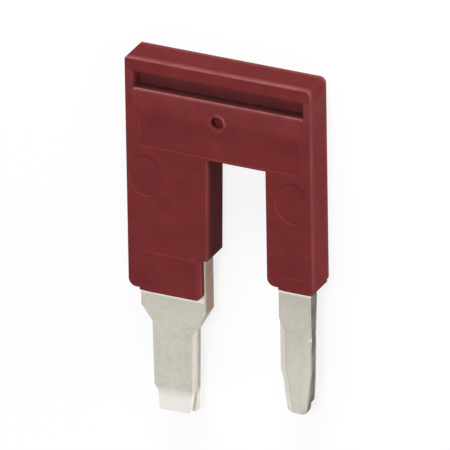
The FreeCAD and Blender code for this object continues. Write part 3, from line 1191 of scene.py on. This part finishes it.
        # painted shade in a slanted line along the coined ramp
        line = v + w.ramp_shade_slant * u - w.ramp_shade_level
        stain = w.stain * bell(line, w.ramp_shade_width) * soft_ramp(u, *w.ramp_shade_sides)
        band = sum(share * bell(u - place, width) for share, place, width in w.bands)
        ends = soft_ramp(v, *w.band_start_levels) * (1.0 - soft_ramp(v, *w.band_end_levels))
        return (stain + band * ends) * ~self.on_small(u)

    def lip_shade(self, u: Array, v: Array) -> Array:
        """Painted shade below the housing's lips, and darker metal towards the top of the small
        leg.
        """
        w = self.light_and_marks
        small = self.on_small(u)
        under = v - np.where(small, w.small_shade_level, w.large_shade_level)
        shade = np.where(small, w.small_lip_shade, w.large_lip_shade)
        upper = w.upper_shade * small * (1.0 - ramp(v, *w.lower_levels))
        return shade * (1.0 - ramp(under, 0.0, w.shade_height)) + upper

    def copper_and_reflection_share(self, u: Array, v: Array, height: Array) -> Array:
        """How far each point takes the copper colour: the large leg's side and the small leg's
        strips.

        Args:
            u: grid distance from the left side.
            v: grid distance below the top edge.
            height: height above the rear face.

        Returns:
            Values from 0 to 1.
        """
        s, w = self.sizes, self.light_and_marks
        near = 1.0 - ramp(np.abs(u - s.large_right), *w.edge_span)
        inward = 1.0 - ramp(self.depth(height), *w.copper_depths)
        blade = w.blade_copper * (v > s.right_taper_end)
        # painted reflection of the red housing on the shoulder's side, copper colour down the
        # blade's side
        side = near * inward * np.maximum(w.shoulder_red_reflection * self.on_shoulder(v), blade)
        strips = w.strip_copper_gain * np.minimum(self.strip_share(u, v), w.strip_copper)
        return np.maximum(side, strips * (height > s.middle))

    def rub_and_sheen_share(self, u: Array, v: Array, height: Array) -> Array:
        """How much painted sheen and highlight each point takes, with some rubbing.

        These are the tips' lead-ins, the outer edges, the small leg's strips, the metal just
        below the housing's lips, and the rear leaf's large tip on its right side.

        Args:
            u: grid distance from the left side.
            v: grid distance below the top edge.
            height: height above the rear face.

        Returns:
            Values from 0 to 1.
        """
        s, w = self.sizes, self.light_and_marks
        small = self.on_small(u)
        small_edge = self.on_small_edge(u)
        edge = 1.0 - ramp(depth_in(self.outline(), u, v), *w.sheen_edge_span)
        # painted sheen on the tips' lead-ins
        lead = np.where(small, w.small_lead_shine, 1.0)
        lead = lead * ramp(self.below_tip_line(u, v), *w.lead_levels)
        # lighter towards the small leg's tip
        lower = w.lower_shine * small * ramp(v, *w.lower_levels)
        # painted highlights along the outer edges
        small_shine = w.small_edge_shine * plateau(v, *w.small_edge_levels) * small_edge
        large_shine = w.edge_shine * (1.0 - self.on_shoulder(v))
        edges = np.where(small, small_shine, large_shine) * edge
        # painted highlight on the metal just below the housing's lips
        under = v - np.where(small, w.small_lip_level, w.large_lip_level)
        lip = w.lip_shine * plateau(under, *w.lip_shine_spans) * ((u < w.lip_shine_right) | small)
        reach = np.where(small & small_edge, w.small_sheen_reach, 0.0)
        outside = ramp(self.depth(height) - reach, *w.sheen_depths)
        shine = (lead + lower + edges + self.strip_share(u, v) + lip) * outside
        if self.in_front:
            # painted highlight along the front blade's edges
            blade = w.edge_shine * edge
            blade = blade * ramp(v, s.right_taper_end - w.edge_shine_rise, s.right_taper_end)
        else:
            # painted light on the rear leaf's large tip, which lies in shade between the leaves
            blade = w.rear_tip_shine * soft_ramp(u - s.large_right, *w.rear_tip_sides)
            blade = blade * ramp(v - self.large_tip, *w.rear_tip_levels)
        return np.clip(np.maximum(shine, blade * ~small), 0.0, 1.0)

    def strip_share(self, u: Array, v: Array) -> Array:
        """How far each point is on the small leg's side strips and its burr, where light is
        painted.

        The right strip's inner border ripples by a sine of the level, and the burr is a bell
        round one point of the right edge.

        Args:
            u: grid distance from the left side.
            v: grid distance below the top edge.

        Returns:
            Values from 0 to 1.
        """
        s, w = self.sizes, self.light_and_marks
        from_left = u - s.small_left
        border = s.bevel_width - w.left_strip_border
        left = w.left_strip * (1.0 - ramp(from_left, border, s.bevel_width))
        ripple = w.ripple_height * np.sin(v * w.ripple_rate) * plateau(v, *w.ripple_levels)
        right = 1.0 - ramp(s.small_right - u + ripple, *w.right_strip_span)
        strips = (left + w.right_strip * right) * self.in_bevels(u, v)
        # painted glint on the burr
        burr = bell(u - s.small_right + w.burr_inset, w.burr_width)
        burr = burr * bell(v - w.burr_level, w.burr_height)
        return np.where(self.on_small(u), np.maximum(strips, burr), 0.0)


# Moulded housing


@dataclass(frozen=True)
class HousingPaintedLight:
    """Painted highlights and painted shade of the housing.

    Plain numbers are shares from 0 to 1 where the name gives no size. A span holds both ends of
    a ramp in millimetres. Depths are measured below the front face and heights above the rear
    face.
    """

    # painted highlights on the outline's edges and the groove's lower rim
    top_edge: float = 0.5
    side_edge_loss: float = 0.34
    side_edge_levels: Span = (0.2, 1.0)
    edge_start: float = 0.04
    front_depths: Span = (0.15, 0.35)
    rear_heights: Span = (0.1, 0.3)
    lower_rim: float = 0.7
    lower_rim_place: float = 0.03
    lower_rim_span: Span = (0.02, 0.07)
    lower_rim_ends: Span = (0.0, 0.1)
    lower_rim_depths: Span = (0.16, 0.3)
    rear_limit: float = 0.3
    # painted light inside the groove and on the scoop below it
    groove_floor: float = 0.11
    floor_loss: float = 0.1
    floor_insets: Span = (0.3, 0.2)
    ledge: float = 0.4
    ledge_top: float = 0.6
    scoop: float = 0.06
    # painted highlight round the hole's rim, most at its upper right
    hole_rim: float = 0.05
    hole_upper_rim: float = 0.38
    hole_rim_place: float = 0.04
    hole_rim_span: Span = (0.06, 0.16)
    hole_upper_side: Span = (0.5, 1.3)
    # painted shade in the front groove
    dull: float = 0.38
    groove_shade_insets: Span = (0.5, 0.1)
    groove_shade_limit: float = 0.3


@dataclass(frozen=True)
class Housing:
    """Moulded housing: sizes in millimetres from the left and below the top."""

    width: float = 16.2
    length: float = 31.13
    depth: float = 3.0
    bridge: float = 7.8
    left_block: float = 7.1
    right_block: float = 12.15
    left_end: float = 20.2
    right_end: float = 17.8
    step: float = 16.8
    lip_right: float = 6.32
    draft: float = 0.18
    pad_left: float = 0.95
    small_pad_left: float = 13.1
    small_pad_right: float = 16.05
    small_pad_top: float = 16.75
    lip: float = 0.2
    pad_rise: float = 0.08
    pad_slope: Span = (-0.05, 0.9)
    pad_edge: Span = (-0.02, 0.05)
    edge_radius: float = 0.13
    rear_radius: float = 0.05
    lip_bevel: float = 0.35
    rear_bevel: float = 0.62
    bevel_reach: float = 0.5
    groove: Patch = Patch(0.68, 15.52, 1.15, 2.65)
    groove_depth: float = 1.28
    lower_rim: float = 0.08
    upper_rim: float = 0.07
    scoop_drop: float = 0.16
    scoop_end: float = 4.35
    scoop_sides: Span = (-0.05, 0.25)
    panel: Patch = Patch(1.17, 15.03, 4.65, 7.62)
    panel_depth: float = 0.1
    panel_run: float = 1.3
    panel_edge: Span = (-0.03, 0.06)
    marks: tuple[Spot, ...] = (
        Spot(1.66, 10.18, 1.52, 1.85, 1.03),
        Spot(14.42, 10.18, 1.52, 1.85, 1.03),
    )
    mark_depth: float = 0.08
    mark_rim: float = 0.06
    hole: Spot = Spot(8.0, 4.42, 0.64, 0.64, 1.5)
    hole_depth: float = 0.6
    hole_rim: float = 0.12
    sink_depth: float = 0.012
    sink_length: float = 9.0
    sink_seed: int = 5
    sink_edge: Span = (0.2, 1.5)
    wall: float = 0.02
    gap: float = 0.02
    beyond: float = 1.0
    line_step: float = 0.2
    light_and_marks: HousingPaintedLight = HousingPaintedLight()

    @property
    def hole_floor(self) -> float:
        """Radius of the pin hole's floor."""
        return self.hole.half_width - self.hole_rim - self.wall

    @property
    def corners(self) -> list[Corner]:
        """Rounded corners of the outline."""
        return [
            Corner(0.0, 0.0, to_right=False, to_bottom=False, radius=0.25),
            Corner(self.width, 0.0, to_right=True, to_bottom=False, radius=0.5),
            Corner(0.0, self.left_end, to_right=False, to_bottom=True, radius=0.7),
            Corner(
                self.lip_right, self.left_end + self.lip, to_right=True, to_bottom=True, radius=0.4
            ),
            Corner(self.right_block, self.right_end, to_right=False, to_bottom=True, radius=0.7),
            Corner(self.width, self.right_end, to_right=True, to_bottom=True, radius=0.3),
        ]

    @property
    def outline(self) -> list[Patch]:
        """Rectangles that make up the front view, lips included."""
        left_lip, right_lip = self.left_end + self.lip, self.right_end + self.lip
        return [
            Patch(0.0, self.width, 0.0, self.bridge),
            Patch(0.0, self.left_block, 0.0, self.step),
            Patch(0.0, self.lip_right, 0.0, self.left_end),
            Patch(self.pad_left, self.lip_right, self.bridge, left_lip),
            Patch(self.right_block, self.width, 0.0, self.right_end),
            Patch(self.small_pad_left, self.small_pad_right, self.bridge, right_lip),
        ]

    @property
    def pads(self) -> list[Patch]:
        """Raised pads over the legs, the left one open to the right and both to the bottom."""
        between = (self.left_block + self.right_block) / 2
        return [
            Patch(self.pad_left, between, self.step, self.length),
            Patch(self.small_pad_left, self.small_pad_right, self.small_pad_top, self.length),
        ]

    def place(self, u: Array, v: Array) -> tuple[Array, Array]:
        """Bends the grid round spots and corners and leans the inner side of the left block.

        The lean moves the strip right of the lip by the draft, in a straight line from the
        bridge down to the step.

        Args:
            u: grid distance from the left side.
            v: grid distance below the top edge.

        Returns:
            Place from the left and place below the top.
        """
        x, d = u.astype(float), v.astype(float)
        for bent in (*self.corners, *self.marks, self.hole):
            x, d = bent.bend(u, v, x, d)
        strip = ramp(u, self.lip_right, self.left_block) * (u < self.left_block + NEAR)
        lean = ramp(v, self.bridge, self.step)
        return x - self.draft * strip * lean, d

    def groove_cut(self, u: Array, v: Array, base: Array) -> Array:
        """Depth of the grip groove, with rounded rims.

        Args:
            u: grid distance from the left side.
            v: grid distance below the top edge.
            base: depth of the face round the groove.

        Returns:
            The depth at each point.
        """
        g = self.groove
        inside = g.depth(u, v)
        low = rounded_drop(np.where(v > g.bottom, v - g.bottom, FAR), self.lower_rim)
        low = np.where((u >= g.left) & (u <= g.right), low, 0.0)
        rim = rounded_drop(np.where(v <= g.bottom + NEAR, -inside, FAR), self.upper_rim)
        rim = np.where(inside < 0, rim, self.upper_rim)
        wall = ramp(inside, 0.0, self.wall)
        face = base + np.maximum(low, rim)
        return face + wall * (self.groove_depth - face)

    def bevelled(self, u: Array, v: Array, cut: Array, width: float, rise: float) -> Array:
        """Adds the bevel along the right side of the large leg's lip to a cut.

        Args:
            u: grid distance from the left side.
            v: grid distance below the top edge.
            cut: depth of the face so far.
            width: width and depth of the bevel.
            rise: height of the pad that the bevel starts on.

        Returns:
            The new depth.
        """
        beside_leg = (v > self.step - HAIR) & (u < self.left_block - self.bevel_reach)
        bevel = np.maximum(width - (self.lip_right - u), 0.0)
        return np.where(beside_leg, np.maximum(cut, bevel - rise), cut)

    def front_height(self, u: Array, v: Array) -> Array:
        """Height of the front face: pads, groove, scoop, panel, marks, hole and edges.

        Args:
            u: grid distance from the left side.
            v: grid distance below the top edge.

        Returns:
            The height at each point.
        """
        g, hole = self.groove, self.hole
        beside = ramp(np.minimum(u - g.left, g.right - u), *self.scoop_sides)
        scoop = self.scoop_drop * (1.0 - ramp(v, g.bottom, self.scoop_end)) * beside
        scoop = np.where(v > g.bottom - NEAR, scoop, 0.0)
        cut = self.groove_cut(u, v, scoop)
        panel = soft_ramp(self.panel.depth(u, v), *self.panel_edge)
        slope = ramp(v, self.panel.top, self.panel.top + self.panel_run)
        cut = cut + self.panel_depth * panel * slope
        for spot in self.marks:
            cut = cut + self.mark_depth * soft_ramp(1.0 - spot.level(u, v), 0.0, self.mark_rim)
        level = hole.level(u, v)
        from_floor = level * hole.half_width - self.hole_floor
        rim = cut + rounded_drop(np.maximum(from_floor - self.wall, 0.0), self.hole_rim)
        rim = np.where(from_floor > self.wall / 2, rim, self.hole_depth)
        cut = np.where(level <= 1.0, rim, cut)
        for pad in self.pads:
            rise = soft_ramp(u - pad.left, *self.pad_slope)
            rise = rise * soft_ramp(np.minimum(pad.right - u, v - pad.top), *self.pad_edge)
            cut = cut - self.pad_rise * rise
        inward = depth_in(self.outline, u, v)
        cut = cut + rounded_drop(inward, self.edge_radius)
        cut = self.bevelled(u, v, cut, self.lip_bevel, self.pad_rise)
        sink = self.sink_depth * (wave(u, v, self.sink_length, self.sink_seed) - 1.0)
        return self.depth - cut + sink * ramp(inward, *self.sink_edge)

    def rear_height(self, u: Array, v: Array) -> Array:
        """Height of the rear face: plain, with the same groove and softly rounded edges.

        Args:
            u: grid distance from the left side.
            v: grid distance below the top edge.

        Returns:
            The height at each point.
        """
        cut = self.groove_cut(u, v, np.zeros_like(u))
        cut = np.maximum(cut, rounded_drop(depth_in(self.outline, u, v), self.rear_radius))
        return self.bevelled(u, v, cut, self.rear_bevel, 0.0)

    def highlight_share(self, u: Array, v: Array, height: Array) -> Array:
        """How much painted highlight each point takes: the outline's edges, the groove's lower rim
        and the hole's rim.

        The groove's inside and the scoop below it get a little painted light too.

        Args:
            u: grid distance from the left side.
            v: grid distance below the top edge.
            height: height above the rear face.

        Returns:
            Values from 0 to 1.
        """
        g, hole, w = self.groove, self.hole, self.light_and_marks
        below_front = self.depth - height
        near_front = 1.0 - ramp(below_front, *w.front_depths)
        near_rear = 1.0 - ramp(height, *w.rear_heights)
        # painted highlight along the outline's edges, weaker below the top edge
        edge = 1.0 - ramp(depth_in(self.outline, u, v), w.edge_start, self.edge_radius)
        edge = edge * (w.top_edge - w.side_edge_loss * ramp(v, *w.side_edge_levels))
        edge = edge * np.maximum(near_front, near_rear)

        # painted highlight along the groove's lower rim
        lower = 1.0 - ramp(np.abs(v - g.bottom - w.lower_rim_place), *w.lower_rim_span)
        lower = lower * ramp(np.minimum(u - g.left, g.right - u), *w.lower_rim_ends)
        lower = w.lower_rim * lower * (1.0 - ramp(below_front, *w.lower_rim_depths))

        # painted light inside the groove, on its lower ledge and on the scoop below it
        inside = (g.depth(u, v) > -NEAR) & (height > w.rear_limit)
        down = ramp(v, g.top + w.floor_insets[0], g.bottom - w.floor_insets[1])
        floor = w.groove_floor - w.floor_loss * down
        ledge = w.ledge * ramp(below_front, w.ledge_top, self.groove_depth)
        floor = np.where(v > g.bottom - self.wall - HAIR, ledge, floor)
        scoop = w.scoop * (1.0 - ramp(v, g.bottom, self.scoop_end))
        pale = np.where(v > g.top - NEAR, np.where(inside, floor, scoop), 0.0)

        # painted highlight round the hole's rim, strongest at its upper right
        x, d = self.place(u, v)
        ring = np.hypot(x - hole.u, d - hole.v)
        rim = 1.0 - ramp(np.abs(ring - hole.half_width - w.hole_rim_place), *w.hole_rim_span)
        aside = (x - hole.u - d + hole.v) / np.maximum(ring, NEAR)
        rim = rim * (w.hole_rim + w.hole_upper_rim * ramp(aside, *w.hole_upper_side)) * near_front
        return np.clip(np.maximum(edge, pale) + lower + rim, 0.0, 1.0)

    def groove_shade_share(self, u: Array, v: Array, height: Array) -> Array:
        """How much painted shade each point of the front groove takes: more towards its lower
        side.

        Args:
            u: grid distance from the left side.
            v: grid distance below the top edge.
            height: height above the rear face.

        Returns:
            Values from 0 to 1.
        """
        g, w = self.groove, self.light_and_marks
        within = (height > w.groove_shade_limit) & (height < self.depth - w.groove_shade_limit)
        down = ramp(v, g.top + w.groove_shade_insets[0], g.bottom - w.groove_shade_insets[1])
        # painted shade in the front groove
        return w.dull * (within & (g.depth(u, v) > -NEAR)) * down

    def grid(self) -> tuple[Array, Array]:
        """Columns and rows through every feature.

        Returns:
            The columns and the rows.
        """
        rim = rim_offsets(self.edge_radius)
        low = rim_offsets(self.lower_rim)
        high = rim_offsets(self.upper_rim, 3)
        g, p, wall = self.groove, self.panel, self.wall
        step = np.array([-0.03, 0.0, 0.03, 0.06])
        bevel = np.array([0.0, wall, self.lip_bevel, self.lip_bevel + wall])
        scoop_inset = self.scoop_sides[1]
        columns = [
            *rim,
            *(self.width - rim),
            *(self.left_block - rim),
            *(self.right_block + rim),
            *(self.lip_right - bevel),
            *(self.lip_right - rim),
            *(self.pad_left + step),
            *(self.small_pad_left + step),
            *(self.small_pad_right - rim),
            *(self.small_pad_right - step),
            *(g.left - high),
            *(g.right + high),
            g.left + wall,
            g.right - wall,
            g.left + scoop_inset,
            g.right - scoop_inset,
            *(p.left + step),
            *(p.right - step),
        ]
        rows = [
            *rim,
            *(self.bridge - rim),
            *(self.step - rim),
            *(self.step + step),
            *(self.small_pad_top + step),
            *(self.left_end - rim),
            *(self.right_end - rim),
            *(self.left_end + self.lip - rim),
            *(self.right_end + self.lip - rim),
            *(g.top - high),
            *(g.bottom + low),
            g.top + wall,
            *(g.bottom - wall * np.array([3.0, 1.0, 0.3, 0.1])),
            self.scoop_end,
            *(p.top + step),
            *(p.bottom - step),
        ]
        mark_rings = [1.0 - self.mark_rim, 1.0 - self.mark_rim / 2, 1.0]
        hole_rings = self.hole_floor + wall + rim_offsets(self.hole_rim, 4)
        hole_rings = np.array([self.hole_floor, *hole_rings]) / self.hole.half_width
        extend(columns, rows, [corner.lines() for corner in self.corners])
        extend(columns, rows, [spot.lines([*mark_rings, spot.reach], 10) for spot in self.marks])
        extend(columns, rows, [self.hole.lines([*hole_rings, self.hole.reach], 5)])
        return grid_lines(columns, self.line_step), grid_lines(rows, self.line_step)

    def hollow(self, leaves: Contact) -> bpy.types.Object:
        """Cutter for the space round the two leaves.

        It is the leaves' outline grown by the gap, drawn out past the open ends, and as a
        prism through the middle of the housing.

        Args:
            leaves: sizes of the contact leaves.

        Returns:
            The cutter, to be deleted after use.
        """
        gap = self.gap
        past_end, past_side = self.length + self.beyond, self.left_block + self.beyond
        points = np.array(
            [
                (leaves.large_left - gap, leaves.bar_top - gap),
                (leaves.large_left - gap, past_end),
                (past_side, past_end),
                (past_side, self.step),
                (leaves.large_right + gap, self.step),
                (leaves.large_right + gap, leaves.bar_bottom + gap),
                (leaves.small_left - gap, leaves.bar_bottom + gap),
                (leaves.small_left - gap, past_end),
                (leaves.small_right + gap, past_end),
                (leaves.small_right + gap, leaves.bar_top - gap),
            ]
        )
        half = leaves.thickness + gap
        flat = np.stack([points[:, 0] - self.width / 2, self.length / 2 - points[:, 1]], axis=-1)
        low = np.column_stack([flat, np.full(len(flat), leaves.middle - half)])
        high = np.column_stack([flat, np.full(len(flat), leaves.middle + half)])
        count = len(flat)
        around = np.arange(count)
        following = (around + 1) % count
        sides = np.stack([around, following, following + count, around + count], axis=-1)
        faces = [list(around[::-1]), list(around + count), *sides.tolist()]
        mesh = bpy.data.meshes.new("hollow")
        mesh.from_pydata(np.concatenate([low, high]) * MM, [], faces)
        cutter = bpy.data.objects.new("hollow", mesh)
        bpy.context.scene.collection.objects.link(cutter)
        return cutter

    def build(self, leaves: Contact) -> bpy.types.Object:
        """Makes the housing and cuts the hollow for the leaves.

        Args:
            leaves: sizes of the contact leaves.

        Returns:
            The housing's object.
        """
        columns, rows = self.grid()
        piece = ReliefPlate(
            columns=columns,
            rows=rows,
            outline=self.outline,
            place=self.place,
            front=self.front_height,
            rear=self.rear_height,
            width=self.width,
            length=self.length,
            # edge holds painted highlights and painted light, dull holds painted shade in the
            # groove
            marks={"edge": self.highlight_share, "dull": self.groove_shade_share},
        ).build("moulded_housing")
        cutter = self.hollow(leaves)
        cut = piece.modifiers.new("hollow", "BOOLEAN")
        cut.operation = "DIFFERENCE"
        cut.solver = "EXACT"
        cut.object = cutter
        ready = piece.evaluated_get(bpy.context.evaluated_depsgraph_get())
        mesh = bpy.data.meshes.new_from_object(ready)
        piece.modifiers.clear()
        piece.data = mesh
        bpy.data.objects.remove(cutter)
        return piece


# Stage, light and camera


@dataclass(frozen=True)
class Studio:
    """Pale floor, soft light all round and three soft lamps."""

    floor_size: float = 1.2
    floor_colour: Triple = (0.38, 0.38, 0.38)
    floor_glow: float = 0.78
    world_colour: Triple = (0.95, 0.975, 1.0)
    world_strength: float = 0.45

    def floor(self) -> None:
        """Lays the floor under the bar.

        For the camera and in reflections it is white and glows a little, and stays darker
        where the bar shades it.
        """
        half = self.floor_size / 2
        corners = [(-half, -half, 0.0), (half, -half, 0.0), (half, half, 0.0), (-half, half, 0.0)]
        mesh = bpy.data.meshes.new("floor")
        mesh.from_pydata(corners, [], [(0, 1, 2, 3)])
        floor = bpy.data.objects.new("floor", mesh)
        bpy.context.scene.collection.objects.link(floor)
        paint = Shade("pale_floor")
        paint.shader.inputs["Roughness"].default_value = 0.9
        paint.shader.inputs["Specular IOR Level"].default_value = 0.0
        glow = paint.add("ShaderNodeEmission")
        glow.inputs["Strength"].default_value = 1.0
        seen = paint.seen()
        paint.colour_by(paint.cover(self.floor_colour, (1.0, 1.0, 1.0), seen))
        share = paint.maths("MULTIPLY", seen, self.floor_glow)
        shown = paint.blend(share, paint.shader.outputs[0], glow.outputs[0])
        paint.join(shown, paint.tree.nodes["Material Output"].inputs["Surface"])
        mesh.materials.append(paint.material)

    def world(self) -> None:
        """Fills the room with even light and shows white to the camera and in reflections."""
        world = bpy.data.worlds.new("room")
        world.use_nodes = True
        room = NodeTree(world.node_tree)
        light = room.tree.nodes["Background"]
        light.inputs["Color"].default_value = (*self.world_colour, 1.0)
        light.inputs["Strength"].default_value = self.world_strength
        white = room.add("ShaderNodeBackground")
        white.inputs["Strength"].default_value = 1.0
        shown = room.blend(room.seen(), light.outputs[0], white.outputs[0])
        room.join(shown, room.tree.nodes["World Output"].inputs["Surface"])
        bpy.context.scene.world = world

    def lamp(
        self,
        name: str,
        place: Triple,
        power: float,
        size: Span,
        colour: Triple,
    ) -> None:
        """Sets up a rectangular soft lamp that faces the bar's middle.

        Args:
            name: name of the lamp.
            place: where it stands, in metres.
            power: power in watts.
            size: width and height of its panel in metres.
            colour: colour of its light.
        """
        data = bpy.data.lights.new(name, "AREA")
        data.energy = power
        data.shape = "RECTANGLE"
        data.size, data.size_y = size
        data.color = colour
        lamp = bpy.data.objects.new(name, data)
        lamp.location = place
        lamp.rotation_euler = Vector(place).to_track_quat("Z", "Y").to_euler()
        bpy.context.scene.collection.objects.link(lamp)

    def build(self) -> None:
        """Sets up floor, world and lamps."""
        self.floor()
        self.world()
        self.lamp("upper_lamp", (0.0, 0.32, 0.11), 0.80, (0.15, 0.10), (1.0, 0.965, 0.90))
        self.lamp("side_lamp", (0.30, 0.02, 0.028), 0.55, (0.16, 0.05), (1.0, 0.99, 0.98))
        self.lamp("front_lamp", (0.0, 0.08, 0.40), 0.60, (0.12, 0.12), (1.0, 1.0, 1.0))
        bpy.context.scene.view_settings.view_transform = "Standard"


@dataclass(frozen=True)
class Viewpoint:
    """Camera of the photograph: angles in degrees, the rest in millimetres of the bar's frame."""

    turn: float = 25.6448
    lift: float = 26.4244
    roll: float = -0.9494
    distance: float = 1402.6
    aim: Triple = (0.0, 6.554, 1.5)
    slide: Span = (0.1272, 4.4016)
    lens: float = 177.76
    sensor: float = 4.5

    def build(self) -> None:
        """Places the camera.

        It looks from turn degrees to the right and lift degrees above the front face's
        straight-on view, rolled about its own axis, with the aim point off the middle by slide.
        """
        turn, lift, roll = (math.radians(a) for a in (self.turn, self.lift, self.roll))
        ahead = -Vector(
            (
                math.sin(turn) * math.cos(lift),
                math.sin(lift),
                math.cos(turn) * math.cos(lift),
            )
        )
        level = ahead.cross(Vector((0.0, 1.0, 0.0))).normalized()
        upright = level.cross(ahead)
        right = math.cos(roll) * level + math.sin(roll) * upright
        up = -math.sin(roll) * level + math.cos(roll) * upright
        place = Vector(self.aim) - self.slide[0] * right - self.slide[1] * up
        place = (place - self.distance * ahead) * MM
        data = bpy.data.cameras.new("camera")
        data.sensor_width = self.sensor
        data.lens = self.lens
        data.clip_start = 0.01
        data.clip_end = 10.0
        camera = bpy.data.objects.new("camera", data)
        camera.matrix_world = Matrix(
            (
                (right.x, up.x, -ahead.x, place.x),
                (right.y, up.y, -ahead.y, place.y),
                (right.z, up.z, -ahead.z, place.z),
                (0.0, 0.0, 0.0, 1.0),
            )
        )
        bpy.context.scene.collection.objects.link(camera)
        bpy.context.scene.camera = camera


def main() -> None:
    """Builds the camera, the studio, the housing and the two leaves."""
    logging.basicConfig(level=logging.INFO, format="%(name)s: %(message)s")
    Viewpoint().build()
    Studio().build()
    contact = Contact()
    housing = Housing().build(contact)
    settle(housing, MouldedPlastic().make(), "housing_plastic", "housing")
    metal = TinnedMetal().make()
    for face in Face:
        leaf = Leaf(face, contact).build()
        settle(leaf, metal, "tinned_metal", f"{face.value}_contact_comb")


if __name__ == "__main__":
    main()
